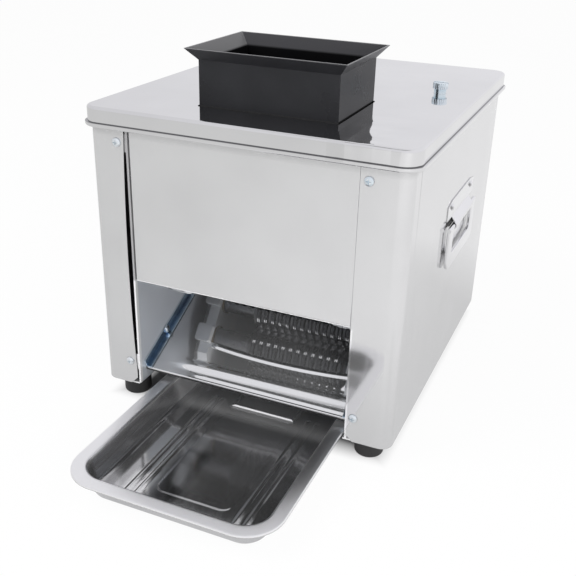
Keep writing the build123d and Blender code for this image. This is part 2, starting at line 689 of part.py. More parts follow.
def handle_bail(side):
    pin_x = side * (SIDE_X + HANDLE_PIN_OUT)
    low = HANDLE_PIN_Z - BAIL_DROP
    with BuildPart() as bail:
        with BuildSketch(Plane.YZ.offset(pin_x - BAIL_T / 2)) as outline:
            with Locations((HANDLE_Y, (HANDLE_PIN_Z + low) / 2)):
                Rectangle(HANDLE_L, BAIL_DROP)
            fillet(outline.vertices().group_by(Axis.Y)[0], radius=BAIL_CORNER_R)
            with Locations((HANDLE_Y, HANDLE_PIN_Z)):
                gap = (HANDLE_L - 2 * BAIL_LEG, 2 * (BAIL_DROP - BAIL_LEG))
                RectangleRounded(*gap, BAIL_INNER_R, mode=Mode.SUBTRACT)
        extrude(amount=BAIL_T)
        grip = bail.edges().filter_by(Axis.Y).filter_by_position(Axis.Z, low - 1, HANDLE_PIN_Z - 5)
        fillet(grip, radius=BAIL_EDGE_R)
        with Locations((pin_x, HANDLE_Y, HANDLE_PIN_Z)):
            Cylinder(BAIL_PIN_R, HANDLE_L - BAIL_LEG, rotation=(90, 0, 0))
        for y in (-1, 1):
            with Locations((pin_x, HANDLE_Y + y * (HANDLE_L - BAIL_LEG) / 2, HANDLE_PIN_Z)):
                Cylinder(BAIL_PIN_R, BAIL_LEG, rotation=(90, 0, 0))
    return bail


left_handle_plate = handle_plate(-1)
right_handle_plate = handle_plate(1)
left_handle_bail = handle_bail(-1)
right_handle_bail = handle_bail(1)

with BuildPart() as handle_rivets:
    for side in (-1, 1):
        for y in rivet_places:
            seat = Plane(origin=(side * (SIDE_X + HANDLE_SHEET), y, RIVET_Z), z_dir=(side, 0, 0))
            with Locations(seat):
                Cylinder(SCREW_R, HANDLE_SHEET + SHEET, align=HANG)
                Cone(*RIVET_HEAD, align=STAND)
            with Locations(seat.offset(-HANDLE_SHEET - SHEET)):
                Cylinder(*RIVET_TAIL, align=HANG)


# Cutter cassette: two side plates with cut-back noses on two rails, bushes and bearing caps
def cutter_plate(plate_x):
    with BuildPart() as plate:
        with BuildSketch(Plane.YZ.offset(plate_x[0])):
            with BuildLine():
                Polyline(
                    (PLATE_Y[0], PLATE_NOSE[1]),
                    (PLATE_NOSE[0], PLATE_LOW),
                    (PLATE_Y[1], PLATE_LOW),
                    (PLATE_Y[1], PLATE_TOP),
                    (PLATE_Y[0], PLATE_TOP),
                    close=True,
                )
            make_face()
            with Locations((FRONT_Y, AXIS_Z), (REAR_Y, AXIS_Z)):
                Circle(BUSH_R, mode=Mode.SUBTRACT)
            with Locations(*((y, RAIL_Z) for y in RAIL_Y)):
                Rectangle(RAIL, RAIL, mode=Mode.SUBTRACT)
        extrude(amount=plate_x[1] - plate_x[0])
    return plate


left_cutter_plate = cutter_plate(PLATE_LEFT)
right_cutter_plate = cutter_plate(PLATE_RIGHT)

with BuildPart() as cutter_bushes:
    left_lip = (PLATE_LEFT[1], PLATE_LEFT[1] + BUSH_LIP)
    right_lip = (PLATE_RIGHT[0] - BUSH_LIP, PLATE_RIGHT[0])
    for plate_x, lip_x in ((PLATE_LEFT, left_lip), (PLATE_RIGHT, right_lip)):
        for y in (FRONT_Y, REAR_Y):
            rod(plate_x, (y, AXIS_Z), BUSH_R)
            rod(lip_x, (y, AXIS_Z), BUSH_R + 1.5 * BUSH_LIP)
            bore_x = (plate_x[0] - 2 * BUSH_LIP, plate_x[1] + 2 * BUSH_LIP)
            rod(bore_x, (y, AXIS_Z), SHAFT_R + RUNNING, Mode.SUBTRACT)

with BuildPart() as bearing_caps:
    for plate_x in (PLATE_LEFT, PLATE_RIGHT):
        for y in (FRONT_Y, REAR_Y):
            block((plate_x[0] - 1, plate_x[1] + 1), around(y, CAP[0]), (PLATE_LOW - CAP[1], PLATE_LOW))
    chamfer(bearing_caps.edges().filter_by(Axis.Z), length=1.5)


def cutter_rail(y):
    with BuildPart() as rail:
        block(BAY_X, around(y, RAIL), around(RAIL_Z, RAIL))
        for x in BAY_X:
            hole((x, y, RAIL_Z), (1, 0, 0), SCREW_R + HOLE_PLAY, 20)
    return rail


front_rail = cutter_rail(RAIL_Y[0])
rear_rail = cutter_rail(RAIL_Y[1])


def stack(count):
    """Middles of a stack of blades along X."""
    return [STACK_X + (index - (count - 1) / 2) * BLADE_PITCH for index in range(count)]


# Combs: a bar across the plates with a curved finger in each gap of a drum
def comb(axis_y, blades, bar_y, root_y, sweep_from, sweep_to):
    gaps = [x + BLADE_PITCH / 2 for x in stack(blades)[:-1]]
    reach = 2 * COMB_R[1]
    rays = (sweep_from, (sweep_from + sweep_to) / 2, sweep_to)
    with BuildPart() as toothed:
        block((PLATE_LEFT[0], PLATE_RIGHT[1]), bar_y, COMB_Z)
        for x in gaps:
            with BuildSketch(Plane.YZ.offset(x - COMB_T / 2)):
                with Locations((axis_y, AXIS_Z)):
                    Circle(COMB_R[1])
                with BuildLine():
                    Polyline(
                        (axis_y, AXIS_Z),
                        *((axis_y + reach * cos(ray), AXIS_Z + reach * sin(ray)) for ray in rays),
                        close=True,
                    )
                make_face(mode=Mode.INTERSECT)
                with Locations(((root_y[0] + root_y[1]) / 2, COMB_ROOT_Z)):
                    Rectangle(root_y[1] - root_y[0], COMB_ROOT)
                with Locations((axis_y, AXIS_Z)):
                    Circle(COMB_R[0], mode=Mode.SUBTRACT)
            extrude(amount=COMB_T)
    return toothed


front_comb = comb(
    FRONT_Y,
    FRONT_BLADES,
    (PLATE_Y[0] - COMB_BAR, PLATE_Y[0]),
    (PLATE_Y[0], FRONT_Y - COMB_R[0]),
    radians(140),
    radians(270) + asin((COMB_TIP_Y[0] - FRONT_Y) / COMB_R[1]),
)
rear_comb = comb(
    REAR_Y,
    REAR_BLADES,
    (PLATE_Y[1], PLATE_Y[1] + COMB_BAR),
    (REAR_Y + COMB_R[0], PLATE_Y[1]),
    radians(-90) - asin((REAR_Y - COMB_TIP_Y[1]) / COMB_R[1]),
    radians(40),
)


# Drums: shaft, round blades with bevelled rims, spacers and end collars
def cutter_shaft(y, right_end):
    with BuildPart() as shaft:
        rod((PLATE_LEFT[0] - 6, right_end), (y, AXIS_Z), SHAFT_R)
        chamfer(shaft.edges().filter_by(GeomType.CIRCLE), length=1)
    return shaft


def drum_blades(y, count):
    with BuildPart() as blades:
        for x in stack(count):
            rod((x - BLADE_T / 2, x + BLADE_T / 2), (y, AXIS_Z), BLADE_R)
        chamfer(blades.edges().filter_by(GeomType.CIRCLE), length=0.9)
        rod((PLATE_LEFT[0], PLATE_RIGHT[1]), (y, AXIS_Z), SHAFT_R, Mode.SUBTRACT)
    return blades


def drum_spacers(y, count):
    middles = stack(count)
    first = middles[0] - BLADE_T / 2
    last = middles[-1] + BLADE_T / 2
    with BuildPart() as spacers:
        for x in middles[:-1]:
            rod((x + BLADE_T / 2, x + BLADE_PITCH - BLADE_T / 2), (y, AXIS_Z), SPACER_R)
        rod((PLATE_LEFT[1] + BUSH_LIP + 0.3, first), (y, AXIS_Z), COLLAR_R)
        rod((last, PLATE_RIGHT[0] - BUSH_LIP - 0.3), (y, AXIS_Z), COLLAR_R)
        rod((PLATE_LEFT[0], PLATE_RIGHT[1]), (y, AXIS_Z), SHAFT_R, Mode.SUBTRACT)
    return spacers


front_cutter_shaft = cutter_shaft(FRONT_Y, TIMING_X[1] + 4)
rear_cutter_shaft = cutter_shaft(REAR_Y, FINAL_X[1] + 3)
front_blades = drum_blades(FRONT_Y, FRONT_BLADES)
rear_blades = drum_blades(REAR_Y, REAR_BLADES)
front_spacers = drum_spacers(FRONT_Y, FRONT_BLADES)
rear_spacers = drum_spacers(REAR_Y, REAR_BLADES)


def on_circle(centre, radius, angle):
    return centre[0] + radius * cos(angle), centre[1] + radius * sin(angle)


# Spur gears with involute flanks; one tooth is centred at the angle turn in the YZ plane
def gear(x, centre, teeth, turn, bore):
    pitch_r = MODULE * teeth / 2
    base_r = pitch_r * cos(PRESSURE_ANGLE)
    root_r = pitch_r - 1.25 * MODULE
    tip_r = pitch_r + 0.95 * MODULE
    start_r = max(base_r, root_r)

    def half_angle(radius):
        rolled = acos(base_r / radius)
        pitch_half = pi / (2 * teeth) - BACKLASH / (2 * pitch_r)
        return pitch_half + tan(PRESSURE_ANGLE) - PRESSURE_ANGLE - (tan(rolled) - rolled)

    flank = [(radius, half_angle(radius)) for radius in (start_r, pitch_r, tip_r)]
    start_half = flank[0][1]
    with BuildPart() as wheel:
        with BuildSketch(Plane.YZ.offset(x[0])):
            with BuildLine():
                for tooth in range(teeth):
                    axis = turn + 2 * pi * tooth / teeth
                    gap_end = axis + 2 * pi / teeth - start_half
                    rise = [on_circle(centre, radius, axis - half) for radius, half in flank]
                    fall = [on_circle(centre, radius, axis + half) for radius, half in reversed(flank)]
                    next_foot = on_circle(centre, start_r, gap_end)
                    ThreePointArc(*rise)
                    Line(rise[-1], fall[0])
                    ThreePointArc(*fall)
                    if root_r < start_r:
                        gap = [on_circle(centre, root_r, angle) for angle in (axis + start_half, gap_end)]
                        Polyline(fall[-1], *gap, next_foot)
                    else:
                        Line(fall[-1], next_foot)
            make_face()
            with Locations(centre):
                Circle(bore, mode=Mode.SUBTRACT)
        extrude(amount=x[1] - x[0])
    return wheel


front_timing_gear = gear(TIMING_X, (FRONT_Y, AXIS_Z), TIMING_TEETH, 0, SHAFT_R)
rear_timing_gear = gear(TIMING_X, (REAR_Y, AXIS_Z), TIMING_TEETH, pi / TIMING_TEETH, SHAFT_R)
final_gear = gear(FINAL_X, (REAR_Y, AXIS_Z), FINAL_TEETH, 0, SHAFT_R)
drive_pinion = gear(PINION_X, (COUNTER_Y, AXIS_Z), PINION_TEETH, pi / PINION_TEETH, COUNTER_R)

# Countershaft in its housing on the right inner wall
with BuildPart() as countershaft:
    rod((COUNTER_HOUSING_X - 2, PULLEY_X[1] + 2), (COUNTER_Y, AXIS_Z), COUNTER_R)
    chamfer(countershaft.edges().filter_by(GeomType.CIRCLE), length=0.8)

with BuildPart() as countershaft_housing:
    flange_t, flange_y, flange_z = COUNTER_FLANGE
    flange_x = (RIGHT_WALL[0] - flange_t, RIGHT_WALL[0])
    rod((COUNTER_HOUSING_X, flange_x[0]), (COUNTER_Y, AXIS_Z), COUNTER_HOUSING_R)
    block(flange_x, around(COUNTER_Y, flange_y), around(AXIS_Z, flange_z))
    rod((0, RIGHT_WALL[1]), (COUNTER_Y, AXIS_Z), COUNTER_R + RUNNING, Mode.SUBTRACT)


# Pulleys with flanged rims, and the belt that joins them
def pulley(centre, pitch_r, bore):
    groove_r = pitch_r - BELT_T / 2 - BELT_GAP
    rim_r = pitch_r + BELT_T / 2 + 1.5
    with BuildPart() as wheel:
        rod(PULLEY_X, centre, groove_r)
        rod((PULLEY_X[0], PULLEY_X[0] + PULLEY_RIM), centre, rim_r)
        rod((PULLEY_X[1] - PULLEY_RIM, PULLEY_X[1]), centre, rim_r)
        rod((PULLEY_X[0], PULLEY_X[1]), centre, bore, Mode.SUBTRACT)
    return wheel


driven_centre = (COUNTER_Y, AXIS_Z)
motor_centre = (MOTOR_Y, MOTOR_Z)
driven_pulley = pulley(driven_centre, DRIVEN_PITCH_R, COUNTER_R)
motor_pulley = pulley(motor_centre, MOTOR_PITCH_R, MOTOR_SHAFT_R)

belt_run = (motor_centre[0] - driven_centre[0], motor_centre[1] - driven_centre[1])
belt_heading = atan2(belt_run[1], belt_run[0])
belt_lean = acos((DRIVEN_PITCH_R - MOTOR_PITCH_R) / hypot(*belt_run))

with BuildPart() as drive_belt:
    side_gap = PULLEY_RIM + BELT_GAP
    with BuildSketch(Plane.YZ.offset(PULLEY_X[0] + side_gap)):
        for half, mode in ((BELT_T / 2, Mode.ADD), (-BELT_T / 2, Mode.SUBTRACT)):
            wide = (driven_centre, DRIVEN_PITCH_R + half)
            slim = (motor_centre, MOTOR_PITCH_R + half)
            upper, lower = belt_heading + belt_lean, belt_heading - belt_lean
            with BuildLine():
                Line(on_circle(*wide, upper), on_circle(*slim, upper))
                ThreePointArc(*(on_circle(*slim, angle) for angle in (upper, belt_heading, lower)))
                Line(on_circle(*slim, lower), on_circle(*wide, lower))
                ThreePointArc(*(on_circle(*wide, angle) for angle in (lower, belt_heading + pi, upper)))
            make_face(mode=mode)
    extrude(amount=PULLEY_X[1] - PULLEY_X[0] - 2 * side_gap)

# Motor: housing, stator, end caps, rotor, shaft and mount
with BuildPart() as motor_housing:
    rod((-MOTOR_HALF, MOTOR_HALF), motor_centre, MOTOR_R)
    rod((-MOTOR_HALF, MOTOR_HALF), motor_centre, MOTOR_R - HOUSING_WALL, Mode.SUBTRACT)

with BuildPart() as motor_stator:
    rod((-STATOR_HALF, STATOR_HALF), motor_centre, MOTOR_R - HOUSING_WALL)
    rod((-STATOR_HALF, STATOR_HALF), motor_centre, STATOR_R, Mode.SUBTRACT)

with BuildPart() as motor_end_caps:
    for side in (-1, 1):
        near = side * MOTOR_HALF
        far = side * (MOTOR_HALF + MOTOR_CAP)
        rod(span(near, far), motor_centre, MOTOR_R)
    chamfer(motor_end_caps.edges().filter_by(GeomType.CIRCLE), length=2.5)
    rod((-SIDE_X, SIDE_X), motor_centre, MOTOR_SHAFT_R + RUNNING, Mode.SUBTRACT)

with BuildPart() as motor_shaft:
    rod((-MOTOR_HALF - MOTOR_CAP, PULLEY_X[1] + 2), motor_centre, MOTOR_SHAFT_R)
    chamfer(motor_shaft.edges().filter_by(GeomType.CIRCLE), length=0.8)

with BuildPart() as motor_rotor:
    rotor_x = (2 - STATOR_HALF, STATOR_HALF - 2)
    rod(rotor_x, motor_centre, STATOR_R - AIR_GAP)
    rod(rotor_x, motor_centre, MOTOR_SHAFT_R, Mode.SUBTRACT)

with BuildPart() as motor_mount:
    mount_w, mount_l, mount_t = MOUNT
    cradle_z = (BASE_TOP + mount_t, MOTOR_Z - 0.63 * MOTOR_R)
    block(around(0, mount_w), around(MOTOR_Y, mount_l), (BASE_TOP, BASE_TOP + mount_t))
    for side in (-1, 1):
        block(span(side * CRADLE_X[0], side * CRADLE_X[1]), around(MOTOR_Y, 0.9 * mount_l), cradle_z)
    rod((-MOTOR_HALF, MOTOR_HALF), motor_centre, MOTOR_R, Mode.SUBTRACT)

# Rocker switch on the left side, and the cable gland at the back
rocker_x = ROCKER_SINK - SIDE_X
with BuildPart() as switch_frame:
    bezel, case, well = (
        (around(SWITCH_Y, width), around(SWITCH_Z, height))
        for width, height in (SWITCH_BEZEL, SWITCH_CASE, SWITCH_WELL)
    )
    block((-SIDE_X - 2, -SIDE_X), *bezel)
    chamfer(switch_frame.faces().sort_by(Axis.X)[0].edges(), length=1)
    block((-SIDE_X, SWITCH_DEPTH - SIDE_X), *case)
    block((-SIDE_X - 3, SWITCH_DEPTH - 2 - SIDE_X), *well, Mode.SUBTRACT)
    with Locations((rocker_x, SWITCH_Y, SWITCH_Z)):
        Cylinder(ROCKER_PIN_R + RUNNING, SWITCH_WELL[0] + 2, rotation=(90, 0, 0), mode=Mode.SUBTRACT)

with BuildPart() as switch_rocker:
    with BuildSketch(Plane.XZ.offset(-SWITCH_Y - ROCKER[0] / 2)):
        with Locations((rocker_x, SWITCH_Z)):
            Circle(ROCKER_R)
            Rectangle(4 * ROCKER_R, ROCKER[1], mode=Mode.INTERSECT)
            with Locations((ROCKER_R + 2 * ROCKER_PIN_R, 0)):
                Rectangle(2 * ROCKER_R, 2 * ROCKER_R, mode=Mode.SUBTRACT)
    extrude(amount=ROCKER[0])
    with Locations((rocker_x, SWITCH_Y, SWITCH_Z)):
        Cylinder(ROCKER_PIN_R, SWITCH_WELL[0] + 1.4, rotation=(90, 0, 0))
    bead_r, bead_length, bead_up = ROCKER_BEAD
    bead_x = rocker_x - sqrt(ROCKER_R**2 - bead_up**2)
    with Locations((bead_x, SWITCH_Y, SWITCH_Z + bead_up)):
        Cylinder(bead_r, bead_length, rotation=(90, 0, 0))

with BuildPart() as cable_gland:
    seat = Plane(origin=(GLAND_X, REAR - SHEET, GLAND_Z), z_dir=(0, 1, 0))
    with BuildSketch(seat):
        RegularPolygon(GLAND_HEX[0], 6)
    extrude(amount=GLAND_HEX[1])
    with Locations(seat):
        Cylinder(GLAND_R, 2 * GLAND_NUT[1], align=HANG)
    with Locations(seat.offset(GLAND_HEX[1])):
        Cylinder(*GLAND_DOME, align=STAND)
    chamfer(cable_gland.edges().filter_by(GeomType.CIRCLE).sort_by(Axis.Y)[-1], length=2.5)
    with BuildSketch(seat.offset(-SHEET)):
        RegularPolygon(GLAND_NUT[0], 6)
    extrude(amount=-GLAND_NUT[1])
    hole((GLAND_X, REAR, GLAND_Z), (0, 1, 0), GLAND_BORE, 6 * GLAND_DOME[1])

pieces = {
    "left_side_shell": left_side_shell,
    "right_side_shell": right_side_shell,
    "rear_panel": rear_panel,
    "base_plate": base_plate,
    "left_inner_wall": left_inner_wall,
    "right_inner_wall": right_inner_wall,
    "bulkhead": bulkhead,
    "front_panel": front_panel,
    "discharge_chute": discharge_chute,
    "left_chute_angle": left_chute_angle,
    "right_chute_angle": right_chute_angle,
    "front_screws": front_screws,
    "rear_screws": rear_screws,
    "inner_screws": inner_screws,
    "rubber_feet": rubber_feet,
    "foot_fixings": foot_fixings,
    "lid": lid,
    "hopper": hopper,
    "left_thumb_screw": left_thumb_screw,
    "right_thumb_screw": right_thumb_screw,
    "left_lid_bracket": left_lid_bracket,
    "right_lid_bracket": right_lid_bracket,
    "tray": tray,
    "left_handle_plate": left_handle_plate,
    "right_handle_plate": right_handle_plate,
    "left_handle_bail": left_handle_bail,
    "right_handle_bail": right_handle_bail,
    "handle_rivets": handle_rivets,
    "left_cutter_plate": left_cutter_plate,
    "right_cutter_plate": right_cutter_plate,
    "cutter_bushes": cutter_bushes,
    "bearing_caps": bearing_caps,
    "front_rail": front_rail,
    "rear_rail": rear_rail,
    "front_comb": front_comb,
    "rear_comb": rear_comb,
    "front_cutter_shaft": front_cutter_shaft,
    "rear_cutter_shaft": rear_cutter_shaft,
    "front_blades": front_blades,
    "rear_blades": rear_blades,
    "front_spacers": front_spacers,
    "rear_spacers": rear_spacers,
    "front_timing_gear": front_timing_gear,
    "rear_timing_gear": rear_timing_gear,
    "final_gear": final_gear,
    "drive_pinion": drive_pinion,
    "countershaft": countershaft,
    "countershaft_housing": countershaft_housing,
    "driven_pulley": driven_pulley,
    "motor_pulley": motor_pulley,
    "drive_belt": drive_belt,
    "motor_housing": motor_housing,
    "motor_stator": motor_stator,
    "motor_end_caps": motor_end_caps,
    "motor_shaft": motor_shaft,
    "motor_rotor": motor_rotor,
    "motor_mount": motor_mount,
    "switch_frame": switch_frame,
    "switch_rocker": switch_rocker,
    "cable_gland": cable_gland,
}

os.makedirs("parts", exist_ok=True)
for name, piece in pieces.items():
    piece.part.label = name
    export_step(piece.part, f"parts/{name}.step")
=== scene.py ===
import json
from math import cos, hypot, radians, sin, sqrt, tan

import bpy
from mathutils import Matrix, Vector


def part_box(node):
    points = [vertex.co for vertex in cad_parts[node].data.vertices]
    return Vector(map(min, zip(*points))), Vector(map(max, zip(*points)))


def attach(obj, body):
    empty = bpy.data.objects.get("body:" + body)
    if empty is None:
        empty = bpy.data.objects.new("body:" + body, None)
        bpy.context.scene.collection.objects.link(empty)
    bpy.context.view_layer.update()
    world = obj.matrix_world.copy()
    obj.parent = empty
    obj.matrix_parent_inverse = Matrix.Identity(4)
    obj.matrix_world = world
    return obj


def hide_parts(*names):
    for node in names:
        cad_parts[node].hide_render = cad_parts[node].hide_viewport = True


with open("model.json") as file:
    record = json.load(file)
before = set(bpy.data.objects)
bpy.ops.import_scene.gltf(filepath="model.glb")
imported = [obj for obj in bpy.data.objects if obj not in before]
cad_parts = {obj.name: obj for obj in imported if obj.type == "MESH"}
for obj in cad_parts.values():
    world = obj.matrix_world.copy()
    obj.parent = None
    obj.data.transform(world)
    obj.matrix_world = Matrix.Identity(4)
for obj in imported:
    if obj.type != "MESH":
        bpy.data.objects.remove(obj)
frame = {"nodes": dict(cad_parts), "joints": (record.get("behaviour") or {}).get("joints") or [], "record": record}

# Desktop meat cutting machine in polished stainless steel, in metres, standing on a pale floor
for leftover in ("Cube", "Light", "Camera"):
    if leftover in bpy.data.objects:
        bpy.data.objects.remove(bpy.data.objects[leftover])
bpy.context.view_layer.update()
scene = bpy.context.scene
nodes = frame["nodes"]
slot_of = {part["node"]: part["material_slot"] for part in frame["record"]["subparts"]}

MM = 0.001
MICRON = 1e-6


def steps_from(edge, *steps):
    """Places so many millimetres from an edge of a CAD piece."""
    return tuple(edge + step * MM for step in steps)


# Lowest and highest corners of the CAD pieces from which the places below are measured
shell_low, shell_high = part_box("right_side_shell")
wall_low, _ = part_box("left_inner_wall")
plate_low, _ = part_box("left_cutter_plate")
panel_low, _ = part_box("front_panel")
lid_low, lid_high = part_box("lid")
_, hopper_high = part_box("hopper")
tray_low, tray_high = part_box("tray")
chute_low, chute_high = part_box("discharge_chute")
blades_low, blades_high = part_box("front_blades")
front_comb_low, front_comb_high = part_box("front_comb")
rear_comb_low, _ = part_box("rear_comb")
hinges = [joint for joint in frame["joints"] if joint["type"] == "hinge"]
axle = {hinge["name"]: Vector(hinge["pos_m"]) for hinge in hinges}

# Camera: the photograph's own place and direction
CAMERA_PLACE = Vector((0.3213, -0.8301, 0.5011))
CAMERA_AZIMUTH = radians(22.83)
CAMERA_ELEVATION = radians(25.41)
CAMERA_ROLL = radians(1.57)
CAMERA_LENS = 52.2

# Lamps: place, target, size and power
LAMPS = {
    "key_lamp": ((-1.2, -1.3, 1.9), (0, 0, 0.15), (1.4, 1.4), 29),
    "fill_lamp": ((1.5, -0.6, 1.3), (0, 0, 0.15), (1.2, 1.2), 8),
    "front_lamp": ((0.95, -1.35, 0.35), (-0.1, -0.13, 0.09), (0.7, 0.5), 16),
}

# Floor: its half size and drop, the machine's half width and half depth on it, and where shades fade
FLOOR_REACH = 12.0
FLOOR_DROP = 0.4 * MM
FOOTPRINT = {"X": shell_high.x, "Y": shell_high.y + 2 * MM}
FLOOR_LEFT = (-0.4, 0.1)
FLOOR_NEAR = (0.0, 0.23)
FLOOR_UNDER = (-0.03, 0.0)

# Studio in polished metal: dimmer to the left, with a dark canopy overhead and in front
STUDIO_LEFT = (-0.7, 0.3)
CANOPY_HEIGHT = (0.86, 0.985)
CANOPY_BACK = (0.0, -0.12)

# Rounded edges of folded and machined pieces
EDGE = 0.35 * MM
EDGE_ANGLE = radians(35)
EDGE_STEPS = 2
WELD_GAP = 0.01 * MM
WIDE_EDGES = {"hopper": 1.0 * MM}
PIERCED = ("left_side_shell", "right_side_shell", "rear_panel", "base_plate", "left_inner_wall",
           "right_inner_wall", "left_cutter_plate", "right_cutter_plate", "left_handle_plate",
           "right_handle_plate")

# In finishes, a pair is a fade's start and end, and a triple is a band's middle, half width and fade

# Side shells and inner sheets
OPENING_TOP = panel_low.z
FLANGE_EDGE = (shell_low.x + 0.9 * MM, 0.7 * MM, 0.4 * MM)
FLANGE_FRONT = steps_from(shell_low.y, 1, 4)
FLANGE_END = steps_from(OPENING_TOP, -2, 1)
SHELL_FOLD = (shell_low.y + 26.5 * MM, 0.5 * MM, 0.6 * MM)
SHELL_FOLD_Z = steps_from(shell_low.z, 178, 260)
SHELL_INSIDE = (-2 * MM, 2 * MM)
SHELL_DARK = steps_from(shell_low.y, 16, 38)
INNER_EDGE = steps_from(wall_low.y, 3.2, 5)
INNER_EDGE_END = steps_from(OPENING_TOP, -1, 1)
INNER_SEAM = 4 * MM
PLATE_OUTSIDE = steps_from(plate_low.x, 3, 4.5)

# Lid and hopper
LID_CREASE = (lid_low.z + 4.2 * MM, 0.1 * MM, 0.5 * MM)
LID_RIGHT = steps_from(lid_high.x, -2.75, -2.35)
LID_SIDE = (lid_high.x - 2.25 * MM, 0.3 * MM, 0.3 * MM)
LID_SHADE = steps_from(lid_low.z, -8.3, -3.3)
LID_RIPPLE_X = (lid_high.x - 54.75 * MM, 12 * MM, 16 * MM)
LID_RIPPLE_Y = steps_from(lid_low.y, 29.75, 99.75)
LID_RIPPLE = 2.6 * MM
HOPPER_FLARE = steps_from(hopper_high.z, -11.7, -9.7)
HOPPER_RIM = steps_from(hopper_high.z, -0.5, -0.1)
HOPPER_LEDGE = (lid_high.z + 0.3 * MM, 0.6 * MM, 0.3 * MM)
HOPPER_INSIDE = (-4 * MM, 0)
HOPPER_THROAT = 90 * MM

# Front panel sheet
PANEL_SHEET = 1.2 * MM
PANEL_BEND = 2.2 * MM
PANEL_BEND_STEPS = 6
PANEL_FACE_WEIGHT = 60
PANEL_RETURNS = (10 * MM, 22 * MM)
PANEL_REACH = 0.7 * MM
PANEL_EDGE = (panel_low.z + 0.7 * MM, 0.5 * MM, 0.4 * MM)

# Tray sheet
TRAY_SHEET = 0.8 * MM
TRAY_RIM = 14 * MM
TRAY_DRAFT = 5 * MM
TRAY_HEM = 2.2 * MM
TRAY_BENDS = (1.2 * MM, 3 * MM, 6 * MM)
TRAY_CORNER = 36 * MM
TRAY_CORNER_LOSS = 0.85
TRAY_GRID = (146, 212, 10)

# Shapes pressed into the tray's floor: height and slope, then half width, half length, corner and middle
RAISED = {"panel": (0.16 * MM, 1.6 * MM), "bar": (1.5 * MM, 3.2 * MM), "bead": (0.8 * MM, 3.4 * MM)}
EMBOSS_X = (tray_low.x + tray_high.x) / 2 + 4 * MM
EMBOSS_PANEL = (38 * MM, 69 * MM, 9 * MM, tray_low.y + 120 * MM)
EMBOSS_BAR = (36 * MM, 3 * MM, 3 * MM, tray_low.y + 205 * MM)
EMBOSS_BEAD = (2 * MM, 88 * MM, 2 * MM, tray_low.y + 125 * MM)
EMBOSS_BEAD_X = (50 * MM, 60 * MM)

# Places on the tray: the bar's painted highlight and raised face, the rim's painted highlight, painted light at
# the back, a darker and a brighter patch
BAR_SPAN_X = (EMBOSS_X, 33 * MM, 4 * MM)
BAR_HIGHLIGHT_Y = (EMBOSS_BAR[3], 1.6 * MM, 1.2 * MM)
BAR_FACE_Y = steps_from(EMBOSS_BAR[3], -1.6, 1.6)
BAR_FACE = 3.9 * MM
TRAY_RIM_Z = steps_from(tray_high.z, -6, -1)
TRAY_BACK = steps_from(tray_low.y, 179, 191)
TRAY_DARKER_X = (EMBOSS_X - 27 * MM, 9 * MM, 9 * MM)
TRAY_DARKER_Y = (tray_low.y + 77 * MM, 38 * MM, 10 * MM)
TRAY_BRIGHTER_X = (EMBOSS_X - 55 * MM, 9 * MM, 5 * MM)
TRAY_BRIGHTER_Y = (tray_low.y + 53 * MM, 12 * MM, 8 * MM)

# Blades and combs; the rear blades stand half a pitch beside the front ones; the blades' rim edges and the combs'
# fingertips carry painted highlights
FRONT_AXIS = axle["front_cutter_spin"]
REAR_AXIS = axle["rear_cutter_spin"]
BLADE_PITCH = 9 * MM
BLADE_EDGE = (1.5 * MM, 1.75 * MM)
FRONT_BLADE_X = (blades_low.x + blades_high.x) / 2
REAR_BLADE_X = FRONT_BLADE_X + BLADE_PITCH / 2
FRONT_TIP_Y = front_comb_high.y - 1.4 * MM
REAR_TIP_Y = rear_comb_low.y + 1.6 * MM
TIP_CORNER = (0.45 * MM, 0.6 * MM)
TIP_LENGTH = (2.0 * MM, 0.3 * MM)
TIP_Z = (front_comb_low.z + 0.2 * MM, 9 * MM, 2 * MM)
TIP_GROUND = 1.8 * MM
FRONT_GRIND = 4.4 * MM

# Chute sheet; its ridges have a crest, a shape of height, front and back flank, two ends and their fades
CHUTE_SHEET = 1.5 * MM
CHUTE_SLOPE = radians(25.4)
CHUTE_LIP_DROP = 3 * MM
CHUTE_BENDS = (1.2 * MM, 4 * MM)
CHUTE_COLUMNS = 96
CHUTE_STEP = 0.55 * MM
BROAD_CREST = 16.15 * MM
BROAD_CLIMB = 0.0115
BROAD_SHAPE = (2.0 * MM, 9.3 * MM, 9 * MM)
BROAD_ENDS = (chute_low.x + 2.7 * MM, chute_high.x - 1.7 * MM)
BROAD_FADES = (64 * MM, 6 * MM)
SLIM_CREST = 46.2 * MM
SLIM_SAG = (-0.117, 0.75)
SLIM_SHAPE = (1.6 * MM, 4.2 * MM, 4.5 * MM)
SLIM_ENDS = (chute_low.x + 54.7 * MM, chute_high.x - 5.7 * MM)
SLIM_FADES = (12 * MM, 6 * MM)
HEM_CREST = 5.0 * MM
HEM_SHAPE = (1.3 * MM, 4.2 * MM, 2.6 * MM)
HEM_ENDS = (chute_low.x + 50.7 * MM, chute_high.x - 0.7 * MM)
HEM_FADES = (20 * MM, 3 * MM)
LIP_SEAM = (chute_low.y + 1.1 * MM, 0.3 * MM, 0.25 * MM)
LIP_SEAM_LEFT = steps_from(chute_low.x, 44.7, 56.7)
LIP_FOLD = steps_from(chute_low.z, 1.5, 2.1)
CHUTE_DULL = steps_from(chute_low.x, -1.3, 38.7)
CHUTE_DARKER_X = steps_from(chute_low.x, 18.7, 46.7)
CHUTE_DARKER_Y = steps_from(chute_low.y, 19, 45)
ANGLE_FADE = steps_from(chute_low.y, 7, 90)


def tinted(colour, share):
    """A colour made darker or paler by a share."""
    return tuple(channel * share for channel in colour)


